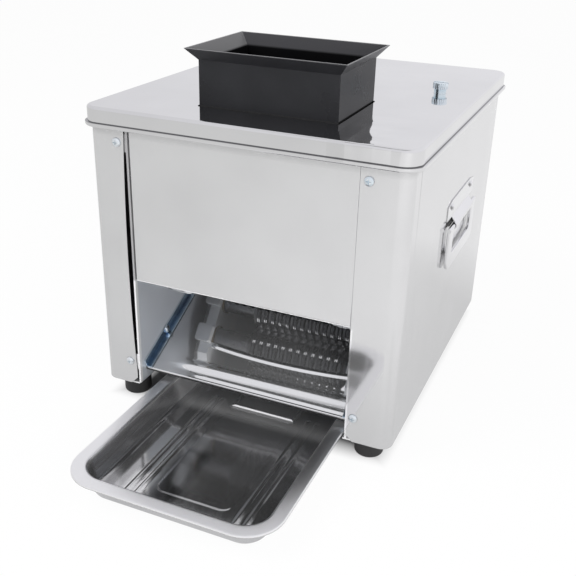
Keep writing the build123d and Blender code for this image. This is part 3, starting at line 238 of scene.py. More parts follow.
class Nodes:
    """Shader nodes in one tree, joined as they are made."""

    def __init__(self, tree):
        self.tree = tree

    def node(self, kind, **settings):
        made = self.tree.nodes.new(kind)
        for name, value in settings.items():
            setattr(made, name, value)
        return made

    def link(self, out, socket):
        self.tree.links.new(out, socket)

    def ranged(self, value, low, high, start=0.3, end=0.7):
        """Spreads the values between start and end over low to high."""
        spread = self.node("ShaderNodeMapRange")
        limits = {"From Min": start, "From Max": end, "To Min": low, "To Max": high}
        for socket, number in limits.items():
            spread.inputs[socket].default_value = number
        self.link(value, spread.inputs["Value"])
        return spread.outputs["Result"]

    def math(self, operation, first, second=0):
        made = self.node("ShaderNodeMath", operation=operation)
        for socket, value in zip(made.inputs, (first, second)):
            if isinstance(value, (int, float)):
                socket.default_value = value
            else:
                self.link(value, socket)
        return made.outputs[0]

    def both(self, first, second):
        """The share that two masks have in common."""
        return self.math("MULTIPLY", first, second)

    def either(self, first, second):
        """The greater of two masks."""
        return self.math("MAXIMUM", first, second)

    def mixed(self, factor, first, second):
        """One colour fading into another."""
        mix = self.node("ShaderNodeMix", data_type="RGBA")
        self.link(factor, mix.inputs["Factor"])
        sockets = [socket for socket in mix.inputs if socket.type == "RGBA"]
        for socket, colour in zip(sockets, (first, second)):
            if isinstance(colour, tuple):
                socket.default_value = (*colour, 1)
            else:
                self.link(colour, socket)
        return next(socket for socket in mix.outputs if socket.type == "RGBA")

    def mottled(self, pattern, colour, low, high):
        """One colour that drifts between two shares of itself."""
        return self.mixed(self.ranged(pattern, 0, 1), tinted(colour, low), tinted(colour, high))

    def part(self, vector, axis):
        """One axis of a vector."""
        parts = self.node("ShaderNodeSeparateXYZ")
        self.link(vector, parts.inputs[0])
        return parts.outputs[axis]


class Surface(Nodes):
    """A material whose colour, roughness and relief come from patterns in the piece's own metres."""

    def __init__(self, name, **values):
        self.material = bpy.data.materials.new(name)
        self.material.use_nodes = True
        super().__init__(self.material.node_tree)
        self.shader = self.tree.nodes["Principled BSDF"]
        for socket, value in values.items():
            self.shader.inputs[socket].default_value = value
        self.place = self.node("ShaderNodeTexCoord").outputs["Object"]
        self.normal = None

    def shade(self, socket, pattern):
        """Sets one of the shader's values by a pattern."""
        self.link(pattern, self.shader.inputs[socket])

    def pattern(self, socket):
        """The pattern that sets one of the shader's values so far."""
        return self.shader.inputs[socket].links[0].from_socket

    def colour(self, pattern):
        self.shade("Base Color", pattern)

    def roughness(self, pattern):
        self.shade("Roughness", pattern)

    def stain(self, mask, colour):
        """Covers the colour so far with another where the mask is 1."""
        self.colour(self.mixed(mask, self.pattern("Base Color"), colour))

    def relief(self, height, depth):
        """Adds a bump of that depth in metres over the ones before it."""
        bump = self.node("ShaderNodeBump")
        bump.inputs["Distance"].default_value = depth
        bump.inputs["Strength"].default_value = 1.0
        self.link(height, bump.inputs["Height"])
        if self.normal:
            self.link(self.normal, bump.inputs["Normal"])
        self.normal = bump.outputs["Normal"]
        self.shade("Normal", self.normal)

    def soften(self, radius):
        """Rounds sharp edges in the shading alone."""
        bevel = self.node("ShaderNodeBevel", samples=4)
        bevel.inputs["Radius"].default_value = radius
        self.normal = bevel.outputs["Normal"]

    def noise(self, scale, stretch=(1, 1, 1), detail=3.0, place=None):
        """Soft noise from 0 to 1; scale is features per metre, stretch is per axis."""
        mapping = self.node("ShaderNodeVectorMath", operation="MULTIPLY")
        mapping.inputs[1].default_value = stretch
        self.link(place or self.place, mapping.inputs[0])
        texture = self.node("ShaderNodeTexNoise")
        texture.inputs["Scale"].default_value = scale
        texture.inputs["Detail"].default_value = detail
        self.link(mapping.outputs[0], texture.inputs["Vector"])
        return texture.outputs[0]

    def rings(self, centre):
        """Fine tool rings about an axis along X through centre."""
        shift = self.node("ShaderNodeVectorMath", operation="SUBTRACT")
        shift.inputs[1].default_value = centre
        self.link(self.place, shift.inputs[0])
        flat = self.node("ShaderNodeVectorMath", operation="MULTIPLY")
        flat.inputs[1].default_value = (0, 1, 1)
        self.link(shift.outputs[0], flat.inputs[0])
        radius = self.node("ShaderNodeVectorMath", operation="LENGTH")
        self.link(flat.outputs[0], radius.inputs[0])
        place = self.node("ShaderNodeCombineXYZ")
        self.link(radius.outputs["Value"], place.inputs["X"])
        return self.noise(TOOL_RINGS, detail=2, place=place.outputs[0])

    def crevice_shade(self, reach, low=0.0, high=1.0, start=0.25, end=0.8):
        """Painted shade: from low in a corner or a seam to high on open faces."""
        closed = self.node("ShaderNodeAmbientOcclusion", samples=8)
        closed.inputs["Distance"].default_value = reach
        return self.ranged(closed.outputs["AO"], low, high, start, end)

    def edges(self, low, high, start=0.5, end=0.56):
        """From low on flats to high on outside corners, where handling wears a surface and where a painted
        highlight catches the edges.
        """
        pointed = self.node("ShaderNodeNewGeometry").outputs["Pointiness"]
        return self.ranged(pointed, low, high, start, end)

    def along(self, axis):
        """The place on one axis."""
        return self.part(self.place, axis)

    def facing(self, axis):
        """How far the surface looks along one axis."""
        return self.part(self.node("ShaderNodeNewGeometry").outputs["Normal"], axis)

    def fade(self, axis, low, high, start, end):
        """From low before start to high after end, along one axis."""
        return self.ranged(self.along(axis), low, high, start, end)

    def band(self, axis, middle, half, fade):
        """1 within half of a place on one axis, fading to 0 outside it."""
        off = self.math("ABSOLUTE", self.math("SUBTRACT", self.along(axis), middle))
        return self.ranged(off, 1, 0, half, half + fade)

    def off_pitch(self, first):
        """Distance along X from the middle of the nearest blade or gap."""
        past_first = self.math("SUBTRACT", self.along("X"), first - BLADE_PITCH / 2)
        turns = self.math("DIVIDE", past_first, BLADE_PITCH)
        share = self.math("SUBTRACT", self.math("FRACT", turns), 0.5)
        return self.math("MULTIPLY", self.math("ABSOLUTE", share), BLADE_PITCH)


# Finishes: colours, a grain's stretch per axis, a wave's scale and depth, rings per metre, cast skin
POLISHED = (0.735, 0.735, 0.74)
CASING = tinted(POLISHED, 0.957)
INNER = (0.66, 0.69, 0.74)
PLATE = (0.74, 0.75, 0.76)
CHUTE = (0.76, 0.765, 0.775)
HANDLE = (0.80, 0.80, 0.81)
# Pale colour of the tray's painted highlights, its painted light and its brighter patch
BRIGHT = (0.92, 0.92, 0.925)
VERTICAL_GRAIN = (1.0, 1.0, 0.03)
SLOPE_GRAIN = (1.0, 0.05, 0.05)
HANDLE_GRAIN = (1.0, 0.05, 1.0)
CASING_WAVE = (9, 0.24 * MM)
INNER_WAVE = (20, 0.15 * MM)
CHUTE_WAVE = (24, 0.06 * MM)
PLATE_WAVE = (30, 0.04 * MM)
HANDLE_WAVE = (40, 0.04 * MM)
TOOL_RINGS = 2400
CAST_ROUGHNESS = (0.336, 0.525)


def sheet_steel(name, colour, roughness, grain, wave, metallic=1.0, seam=1.6 * MM):
    """Stainless sheet: faint rolling grain, handling haze, painted shade in seams and corners, and a slight wave.
    """
    steel = Surface(name, Metallic=metallic)
    steel.soften(EDGE)
    haze = steel.noise(14, detail=5)
    streaks = steel.noise(60, grain, detail=4)
    sheet = steel.mottled(haze, colour, 0.97, 1.03)
    # Painted shade darkens the sheet in its seams and corners
    steel.colour(steel.mixed(steel.crevice_shade(seam), tinted(colour, 0.18), sheet))
    level = steel.ranged(haze, roughness * 0.75, roughness * 1.3)
    steel.roughness(steel.math("ADD", level, steel.ranged(streaks, -0.012, 0.02)))
    wave_scale, wave_depth = wave
    steel.relief(steel.noise(wave_scale, detail=1.5), wave_depth)
    steel.relief(streaks, 1.6 * MICRON)
    return steel


def casing_steel(name):
    """The polished sheet of the casing."""
    return sheet_steel(name, CASING, 0.08, VERTICAL_GRAIN, CASING_WAVE, metallic=0.9)


def plate_steel(name):
    """The dull plate of the cutter's frame."""
    return sheet_steel(name, PLATE, 0.34, VERTICAL_GRAIN, PLATE_WAVE, metallic=0.35)


def lid_steel():
    """The lid's sheet, rippled toward its front right corner, with painted shade in the crease over its bead."""
    steel = sheet_steel("lid_steel", POLISHED, 0.05, VERTICAL_GRAIN, CASING_WAVE)
    corner = steel.both(steel.fade("Y", 1, 0, *LID_RIPPLE_Y), steel.band("X", *LID_RIPPLE_X))
    steel.relief(steel.both(steel.noise(34, detail=1), corner), LID_RIPPLE)
    # Painted shade along the crease, darkest near the right side
    crease = steel.band("Z", *LID_CREASE)
    steel.stain(steel.both(crease, steel.fade("X", 1, 0, *LID_RIGHT)), (0.19, 0.19, 0.195))
    steel.stain(steel.both(crease, steel.band("X", *LID_SIDE)), (0.06, 0.06, 0.062))
    return steel.material


def shade_under_lid(steel):
    """Painted shade close under the lid's bead."""
    steel.stain(steel.fade("Z", 0, 0.2, *LID_SHADE), (0.25, 0.25, 0.25))


def shell_steel():
    """The side shells' sheet: painted shade along a fold behind the flange, a painted highlight on the edge at the
    opening, painted shade inside.
    """
    steel = casing_steel("shell_steel")
    shade_under_lid(steel)
    # Painted shade along the fold, on faces that look sideways
    fold = steel.both(steel.band("Y", *SHELL_FOLD), steel.facing("X"))
    steel.stain(steel.both(fold, steel.fade("Z", 0, 0.8, *SHELL_FOLD_Z)), (0.38, 0.38, 0.385))
    # Painted highlight on the flange's front edge, below the opening's top
    edge = steel.both(steel.band("X", *FLANGE_EDGE), steel.fade("Z", 1, 0, *FLANGE_END))
    steel.stain(steel.both(edge, steel.fade("Y", 1, 0, *FLANGE_FRONT)), (0.95, 0.95, 0.955))
    # Painted shade on the inner faces, strongest near the flange
    outward = [steel.both(steel.along(axis), steel.facing(axis)) for axis in "XY"]
    inside = steel.ranged(steel.math("ADD", *outward), 1, 0, *SHELL_INSIDE)
    near_flange = steel.fade("Y", 1, 0.35, *SHELL_DARK)
    steel.stain(steel.both(inside, near_flange), (0.04, 0.04, 0.042))
    return steel.material


def panel_steel():
    """The front panel's sheet, with a painted highlight along its bottom bend."""
    steel = casing_steel("panel_steel")
    shade_under_lid(steel)
    # Painted highlight: a pale, less metallic band along the bottom bend
    bend_highlight = steel.band("Z", *PANEL_EDGE)
    steel.stain(bend_highlight, (0.98, 0.98, 0.98))
    steel.shade("Metallic", steel.ranged(bend_highlight, 0.9, 0.1, 0, 1))
    return steel.material


def inner_steel():
    """The inner sheets, with a painted highlight along their front edges below the opening's top and painted shade
    on them above it.
    """
    steel = sheet_steel("inner_steel", INNER, 0.35, VERTICAL_GRAIN, INNER_WAVE, 0.55, INNER_SEAM)
    # Painted highlight on the front edges below the opening's top, painted shade above it
    above = steel.fade("Z", 0, 1, *INNER_EDGE_END)
    edge = steel.mixed(above, (0.90, 0.90, 0.91), (0.42, 0.42, 0.425))
    steel.stain(steel.fade("Y", 1, 0, *INNER_EDGE), edge)
    return steel.material


def cutter_plate_steel():
    """The cutter's side plates; the left one has painted shade on its outside."""
    steel = plate_steel("cutter_plate_steel")
    # Painted shade on the left plate's outer face, in the narrow gap by the wall
    steel.stain(steel.fade("X", 0.9, 0, *PLATE_OUTSIDE), (0.04, 0.04, 0.04))
    return steel.material


def chute_steel():
    """Mirror-polished sheet, duller to the left and darker toward its upper left, with painted shade in a seam
    behind the lip and along the fold under it.
    """
    steel = sheet_steel("chute_steel", CHUTE, 0.035, SLOPE_GRAIN, CHUTE_WAVE, metallic=0.88)
    # Painted shade in the seam behind the lip and along the fold under it
    seam = steel.both(steel.band("Y", *LIP_SEAM), steel.fade("X", 0, 1, *LIP_SEAM_LEFT))
    fold = steel.fade("Z", 1, 0, *LIP_FOLD)
    steel.stain(steel.either(seam, fold), (0.06, 0.06, 0.06))
    # Darker toward the upper left of the slope
    left = steel.fade("X", 0.55, 0, *CHUTE_DARKER_X)
    steel.stain(steel.both(left, steel.fade("Y", 0, 1, *CHUTE_DARKER_Y)), (0.30, 0.30, 0.31))
    subdued = steel.fade("X", 0.24, 0, *CHUTE_DULL)
    steel.roughness(steel.either(steel.pattern("Roughness"), subdued))
    return steel.material


def tray_steel():
    """Drawn stainless sheet: long drawing streaks, wiped haze, painted highlights on the rim and the bar, painted
    light at the back, a darker and a brighter patch.
    """
    steel = Surface("tray_steel", Anisotropic=0.35)
    haze = steel.noise(9, (1.0, 0.35, 1.0), detail=5)
    streaks = steel.noise(150, (1.0, 0.02, 1.0), detail=4)
    fine = steel.noise(900, (1.0, 0.03, 1.0), detail=2)
    pan = steel.mixed(steel.ranged(haze, 0, 1), (0.52, 0.52, 0.53), (0.60, 0.60, 0.605))
    # Painted highlight on the rim
    rim = steel.fade("Z", 0, 1, *TRAY_RIM_Z)
    steel.colour(steel.mixed(rim, pan, BRIGHT))
    # A darker patch on the floor
    subdued = steel.both(steel.band("X", *TRAY_DARKER_X), steel.band("Y", *TRAY_DARKER_Y))
    steel.stain(steel.both(subdued, 0.7), (0.13, 0.13, 0.135))
    # Painted highlight on the bar, in the pale colour shared with the back and the brighter patch
    bar = steel.both(steel.band("Y", *BAR_HIGHLIGHT_Y), steel.band("X", *BAR_SPAN_X))
    # Painted light toward the back under the chute: paler and less metallic
    back = steel.fade("Y", 0, 0.22, *TRAY_BACK)
    # A brighter patch on the floor, toward the front left
    brighter = steel.both(steel.band("X", *TRAY_BRIGHTER_X), steel.band("Y", *TRAY_BRIGHTER_Y))
    steel.stain(steel.either(steel.either(bar, back), brighter), BRIGHT)
    steel.shade("Metallic", steel.math("SUBTRACT", steel.either(rim, 0.92), steel.both(back, 0.7)))
    level = steel.either(steel.ranged(haze, 0.07, 0.13), steel.both(rim, 0.3))
    steel.roughness(steel.math("ADD", level, steel.ranged(streaks, -0.02, 0.03)))
    steel.relief(steel.noise(16, (1.0, 0.3, 1.0), detail=2), 0.2 * MM)
    steel.relief(streaks, 5 * MICRON)
    steel.relief(fine, 1 * MICRON)
    face = steel.both(steel.fade("Y", 0, 1, *BAR_FACE_Y), steel.band("X", *BAR_SPAN_X))
    steel.relief(face, BAR_FACE)
    return steel.material


def zinc_plate(name, deep, pale, roughness):
    """Bright zinc plating with a drifting blue tint and pale edges where it wears."""
    zinc = Surface(name, Metallic=1.0)
    drift = zinc.noise(40, detail=1)
    tint = zinc.mixed(zinc.ranged(drift, 0, 1, 0.35, 0.65), deep, pale)
    zinc.colour(zinc.mixed(zinc.edges(0, 0.8), tint, (0.90, 0.92, 0.95)))
    zinc.roughness(zinc.ranged(zinc.noise(240, detail=5), roughness * 0.7, roughness * 1.5))
    zinc.relief(zinc.noise(700, detail=3), 6 * MICRON)
    return zinc.material


def angle_zinc():
    """Blue passivated zinc, deep at the slope's top and paler toward the lip, with a bright bend."""
    zinc = Surface("angle_zinc", Metallic=0.95)
    tint = zinc.mixed(zinc.fade("Y", 1, 0, *ANGLE_FADE), (0.016, 0.045, 0.14), (0.12, 0.31, 0.58))
    drift = zinc.noise(30, detail=1)
    tint = zinc.mixed(zinc.ranged(drift, 0, 0.35), tint, (0.13, 0.29, 0.50))
    zinc.colour(zinc.mixed(zinc.edges(0, 1), tint, (0.75, 0.86, 0.95)))
    zinc.roughness(zinc.ranged(zinc.noise(160, detail=3), 0.12, 0.24))
    zinc.relief(zinc.noise(300, detail=2), 3 * MICRON)
    return zinc.material


def moulded_plastic(name, colour, roughness, grain_depth, ior=1.46):
    """Moulded plastic: fine spark grain, paler edges from scuffs and a painted highlight, wiped patches."""
    plastic = Surface(name, Metallic=0.0, IOR=ior)
    wiped = plastic.noise(22, detail=5)
    # Paler edges: scuffs and a painted highlight
    scuff_and_sheen = plastic.edges(0, 0.7, 0.52, 0.60)
    base = plastic.mottled(wiped, colour, 0.85, 1.2)
    plastic.colour(plastic.mixed(scuff_and_sheen, base, (0.26, 0.26, 0.27)))
    plastic.roughness(plastic.ranged(wiped, roughness * 0.85, roughness * 1.15))
    plastic.relief(plastic.noise(2600, detail=2), grain_depth)
    return plastic


def hopper_plastic():
    """Black plastic: painted shade deep inside the throat, painted light on the flare's inside, a painted
    highlight on the rim and painted shade on the ledge.
    """
    plastic = moulded_plastic("hopper_plastic", (0.0175, 0.0178, 0.0200), 0.30, 4 * MICRON, ior=1.27)
    # Painted light on the flare's upward faces, more where they face right
    upward = plastic.ranged(plastic.facing("Z"), 0, 1, 0.05, 0.25)
    rightward = plastic.ranged(plastic.facing("X"), 0, 1, 0.2, 0.6)
    flare = plastic.both(upward, plastic.fade("Z", 0, 1, *HOPPER_FLARE))
    plastic.stain(flare, (0.046, 0.046, 0.050))
    plastic.stain(plastic.both(flare, rightward), (0.155, 0.155, 0.16))
    # Painted shade deep in the throat and on the inside faces below the flare
    low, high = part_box("hopper")
    outward = []
    for axis, start, end in zip("XY", low, high):
        off = plastic.math("SUBTRACT", plastic.along(axis), (start + end) / 2)
        outward.append(plastic.both(off, plastic.facing(axis)))
    inside = plastic.ranged(plastic.math("ADD", *outward), 0.8, 0, *HOPPER_INSIDE)
    inside = plastic.both(inside, plastic.fade("Z", 1, 0, *HOPPER_FLARE))
    deep = plastic.either(plastic.crevice_shade(HOPPER_THROAT, 1.0, 0.0, 0.1, 0.6), inside)
    plastic.stain(deep, (0.002, 0.002, 0.0022))
    # Painted highlight along the rim
    plastic.stain(plastic.fade("Z", 0, 1, *HOPPER_RIM), (0.16, 0.16, 0.165))
    # Painted shade on the ledge where the hopper meets the lid, black where it faces right
    ledge = plastic.band("Z", *HOPPER_LEDGE)
    plastic.stain(ledge, plastic.mixed(rightward, (0.026, 0.026, 0.027), (0.004, 0.004, 0.004)))
    dulled = plastic.either(plastic.both(deep, 0.8), plastic.both(rightward, 0.4))
    plastic.shade("Specular IOR Level", plastic.ranged(plastic.either(ledge, dulled), 0.5, 0, 0, 1))
    return plastic.material


def rubber(name, colour):
    """Moulded rubber with a dusty bloom."""
    skin = Surface(name, Metallic=0.0, IOR=1.5)
    dust = skin.noise(60, detail=6)
    skin.colour(skin.mottled(dust, colour, 1, 2.2))
    skin.roughness(skin.ranged(dust, 0.45, 0.7))
    skin.relief(skin.noise(1800, detail=3), 25 * MICRON)
    return skin.material


def blade_steel(name, axis, first_blade):
    """Hardened blade steel, dark on the faces as painted shade, paler on the two honed edges of each rim as a
    painted highlight.
    """
    steel = Surface(name, Metallic=1.0)
    rings = steel.rings(axis)
    edge_glint = steel.ranged(steel.off_pitch(first_blade), 0, 1, *BLADE_EDGE)
    # Painted shade on the faces, painted highlight on the rim's edges
    steel.colour(steel.mixed(edge_glint, (0.085, 0.086, 0.089), (0.14, 0.142, 0.146)))
    steel.roughness(steel.ranged(rings, 0.12, 0.26))
    steel.relief(rings, 3 * MICRON)
    return steel.material


def comb_steel(name, axis, first_gap, tip_y, grind=0):
    """Comb dark as painted shade, with painted glints on the corners at the tip of each finger."""
    steel = Surface(name, Metallic=1.0)
    patch = steel.noise(70, detail=4)
    # Painted shade: the comb is dark all over
    shade_black = steel.mixed(steel.ranged(patch, 0, 1), (0.040, 0.041, 0.043), (0.064, 0.065, 0.068))
    steel.colour(shade_black)
    # Painted glints: pale, smoother corners at the tip of each finger
    corners = steel.ranged(steel.off_pitch(first_gap), 0, 1, *TIP_CORNER)
    tip = steel.both(steel.band("Y", tip_y, *TIP_LENGTH), steel.band("Z", *TIP_Z))
    polished = steel.both(corners, tip)
    steel.stain(polished, (0.95, 0.95, 0.96))
    smoother = steel.ranged(polished, 1, 0.2, 0, 1)
    steel.roughness(steel.both(steel.ranged(patch, 0.22, 0.36), smoother))
    steel.relief(steel.rings(axis), 3 * MICRON)
    if grind:
        steel.relief(steel.fade("Y", 0, 1, tip_y - TIP_GROUND, tip_y + TIP_GROUND), grind)
    return steel.material


def turned_steel(name, colour, roughness, axis):
    """Machined steel with fine tool rings about an axis along X."""
    steel = Surface(name, Metallic=1.0, Anisotropic=0.3)
    rings = steel.rings(axis)
    patch = steel.noise(70, detail=5)
    steel.colour(steel.mottled(patch, colour, 0.82, 1.08))
    level = steel.ranged(patch, roughness * 0.7, roughness * 1.4)
    steel.roughness(steel.math("ADD", level, steel.ranged(rings, -0.04, 0.05)))
    steel.relief(rings, 4 * MICRON)
    return steel.material


def rivet_steel():
    """Pale rivet heads, with painted shade where their rims look forward."""
    steel = Surface("rivet_steel", Metallic=1.0)
    rubbed = steel.noise(300, detail=3)
    # Painted shade on the rims that look forward
    subdued = steel.ranged(steel.facing("Y"), 1, 0, -0.85, -0.6)
    steel.colour(steel.mixed(subdued, (0.80, 0.80, 0.81), (0.10, 0.10, 0.10)))
    steel.roughness(steel.ranged(rubbed, 0.12, 0.24))
    steel.relief(rubbed, 6 * MICRON)
    return steel.material


def cast_metal(name, colour, metallic=1.0):
    """Cast or painted metal with a pebbled skin and rubbed corners."""
    cast = Surface(name, Metallic=metallic)
    pebble = cast.noise(900, detail=4)
    patch = cast.noise(40, detail=4)
    base = cast.mottled(patch, colour, 0.85, 1.15)
    cast.colour(cast.mixed(cast.edges(0, 0.6), base, tinted(colour, 1.5)))
    cast.roughness(cast.ranged(patch, *CAST_ROUGHNESS))
    cast.relief(pebble, 60 * MICRON)
    return cast.material


# The finish of each material slot, and then of the nodes that have one of their own
handle_steel = sheet_steel("handle_steel", HANDLE, 0.10, HANDLE_GRAIN, HANDLE_WAVE)
black_plastic = moulded_plastic("black_plastic", (0.022, 0.022, 0.023), 0.42, 12 * MICRON)
rocker_plastic = moulded_plastic("rocker_plastic", (0.035, 0.035, 0.035), 0.22, 3 * MICRON)
finishes = {
    "casing_steel": casing_steel("casing_steel").material,
    "inner_steel": inner_steel(),
    "chute_steel": chute_steel(),
    "handle_steel": handle_steel.material,
    "tray_steel": tray_steel(),
    "zinc": zinc_plate("zinc", (0.68, 0.78, 0.84), (0.86, 0.89, 0.90), 0.22),
    "hopper_plastic": hopper_plastic(),
    "foot_rubber": rubber("foot_rubber", (0.010, 0.010, 0.010)),
    "belt_rubber": rubber("belt_rubber", (0.016, 0.016, 0.016)),
    "blade_steel": blade_steel("blade_steel", FRONT_AXIS, FRONT_BLADE_X),
    "machined_steel": turned_steel("machined_steel", (0.56, 0.57, 0.58), 0.30, REAR_AXIS),
    "bush_bronze": cast_metal("bush_bronze", (0.20, 0.15, 0.09)),
    "cast_aluminium": cast_metal("cast_aluminium", (0.66, 0.66, 0.66)),
    "motor_paint": cast_metal("motor_paint", (0.055, 0.065, 0.075), metallic=0.0),
    "black_plastic": black_plastic.material,
    "rocker_plastic": rocker_plastic.material,
}
shell_finish = shell_steel()
plate_finish = cutter_plate_steel()
dark_steel = turned_steel("dark_steel", (0.13, 0.132, 0.138), 0.28, FRONT_AXIS)
thumb_zinc = zinc_plate("thumb_zinc", (0.42, 0.60, 0.72), (0.80, 0.90, 0.94), 0.20)
own_finish = {
    "left_side_shell": shell_finish,
    "right_side_shell": shell_finish,
    "lid": lid_steel(),
    "front_panel": panel_steel(),
    "handle_rivets": rivet_steel(),
    "left_chute_angle": angle_zinc(),
    "right_chute_angle": angle_zinc(),
    "rear_blades": blade_steel("rear_blade_steel", REAR_AXIS, REAR_BLADE_X),
    "left_cutter_plate": plate_finish,
    "right_cutter_plate": plate_finish,
    "bearing_caps": plate_steel("plate_steel").material,
    "front_comb": comb_steel("front_comb_steel", FRONT_AXIS, REAR_BLADE_X, FRONT_TIP_Y, FRONT_GRIND),
    "rear_comb": comb_steel("rear_comb_steel", REAR_AXIS, FRONT_BLADE_X, REAR_TIP_Y),
    "left_thumb_screw": thumb_zinc,
    "right_thumb_screw": thumb_zinc,
    "front_spacers": dark_steel,
    "rear_spacers": dark_steel,
    "front_rail": dark_steel,
    "rear_rail": dark_steel,
}


def dress(name):
    """Gives a CAD piece its finish and small rounded edges that catch the light."""
    piece = nodes[name]
    piece.data.materials.clear()
    piece.data.materials.append(own_finish.get(name, finishes[slot_of[name]]))
    if name in PIERCED:
        return
    weld = piece.modifiers.new("weld", "WELD")
    weld.merge_threshold = WELD_GAP
    edge = piece.modifiers.new("edge", "BEVEL")
    edge.width = WIDE_EDGES.get(name, EDGE)
    edge.segments = EDGE_STEPS
    edge.limit_method = "ANGLE"
    edge.angle_limit = EDGE_ANGLE
    edge.harden_normals = True
    even = piece.modifiers.new("even", "WEIGHTED_NORMAL")
    even.keep_sharp = True


def made_piece(name, verts, faces, replaced, body, slot):
    """A mesh piece that stands for a CAD node and rides on its body."""
    mesh = bpy.data.meshes.new(name)
    mesh.from_pydata(verts, [], faces)
    mesh.polygons.foreach_set("use_smooth", [True] * len(mesh.polygons))
    mesh.materials.append(own_finish.get(replaced, finishes[slot]))
    piece = bpy.data.objects.new(name, mesh)
    scene.collection.objects.link(piece)
    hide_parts(replaced)
    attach(piece, body)
    return piece


def thicken(piece, thickness):
    """Turns a surface into sheet, grown away from the side that its faces look at."""
    solid = piece.modifiers.new("sheet", "SOLIDIFY")
    solid.thickness = thickness
    solid.offset = -1.0
    solid.use_even_offset = True


def ease(t):
    """Smooth step from 0 to 1."""
    t = min(1.0, max(0.0, t))
    return t * t * (3 - 2 * t)


def rounded(points, radii, steps=6):
    """A line through points in a plane, with its inner corners turned into arcs."""
    path = [Vector(points[0])]
    for before, corner, after, radius in zip(points, points[1:], points[2:], radii):
        corner = Vector(corner)
        back = (Vector(before) - corner).normalized()
        ahead = (Vector(after) - corner).normalized()
        half = back.angle(ahead) / 2
        centre = corner + (back + ahead).normalized() * radius / sin(half)
        start = corner + back * radius / tan(half) - centre
        end = corner + ahead * radius / tan(half) - centre
        path += [centre + start.slerp(end, step / steps) * radius for step in range(steps + 1)]
    path.append(Vector(points[-1]))
    return path


def divided(path, step):
    """The same line with no piece longer than step."""
    fine = [path[0]]
    for start, end in zip(path, path[1:]):
        pieces = max(1, round((end - start).length / step))
        fine += [start.lerp(end, (piece + 1) / pieces) for piece in range(pieces)]
    return fine


def rounded_gap(x, y, half_x, half_y, corner):
    """Signed distance from a rounded rectangle, negative inside."""
    dx = abs(x) - half_x + corner
    dy = abs(y) - half_y + corner
    return hypot(max(dx, 0), max(dy, 0)) + min(max(dx, dy), 0) - corner


# Front panel
def build_panel():
    """A folded sheet with soft bends at its bottom and sides."""
    low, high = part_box("front_panel")
    turns = [radians(90) * step / PANEL_BEND_STEPS for step in range(PANEL_BEND_STEPS + 1)]
    bends = [(PANEL_BEND * (1 - cos(turn)), PANEL_BEND * (1 - sin(turn))) for turn in turns]
    verts = []
    for inset, depth in bends:
        left, right, bottom = low.x + inset, high.x + PANEL_REACH - inset, low.z + inset
        y = low.y + depth
        verts += [(left, y, high.z), (left, y, bottom), (right, y, bottom), (right, y, high.z)]
    faces = [
        (4 * ring + side, 4 * ring + side + 1, 4 * ring + side + 5, 4 * ring + side + 4)
        for ring in range(PANEL_BEND_STEPS) for side in range(3)
    ]
    faces.append(tuple(range(4 * PANEL_BEND_STEPS, 4 * PANEL_BEND_STEPS + 4)))
    bottom_depth, side_depth = PANEL_RETURNS
    for side, depth in enumerate((side_depth, bottom_depth, side_depth)):
        first = len(verts)
        verts += [(verts[corner][0], low.y + depth, verts[corner][2]) for corner in (side, side + 1)]
        faces.append((first, first + 1, side + 1, side))
    panel = made_piece("front_panel_sheet", verts, faces, "front_panel", "casing", "casing_steel")
    thicken(panel, PANEL_SHEET)
    panel.modifiers.new("even", "WEIGHTED_NORMAL").weight = PANEL_FACE_WEIGHT


# Collecting tray
def tray_relief(x, y):
    """Height of the pressed pattern on the tray's floor."""
    def raised(kind, shape, centre_x=EMBOSS_X):
        height, slope = RAISED[kind]
        half_x, half_y, corner, centre_y = shape
        gap = rounded_gap(x - centre_x, y - centre_y, half_x, half_y, corner)
        return height * ease(0.5 - gap / slope)

    bead_places = [EMBOSS_X + side * off for side in (-1, 1) for off in EMBOSS_BEAD_X]
    beads = sum(raised("bead", EMBOSS_BEAD, place) for place in bead_places)
    return raised("panel", EMBOSS_PANEL) + raised("bar", EMBOSS_BAR) + beads


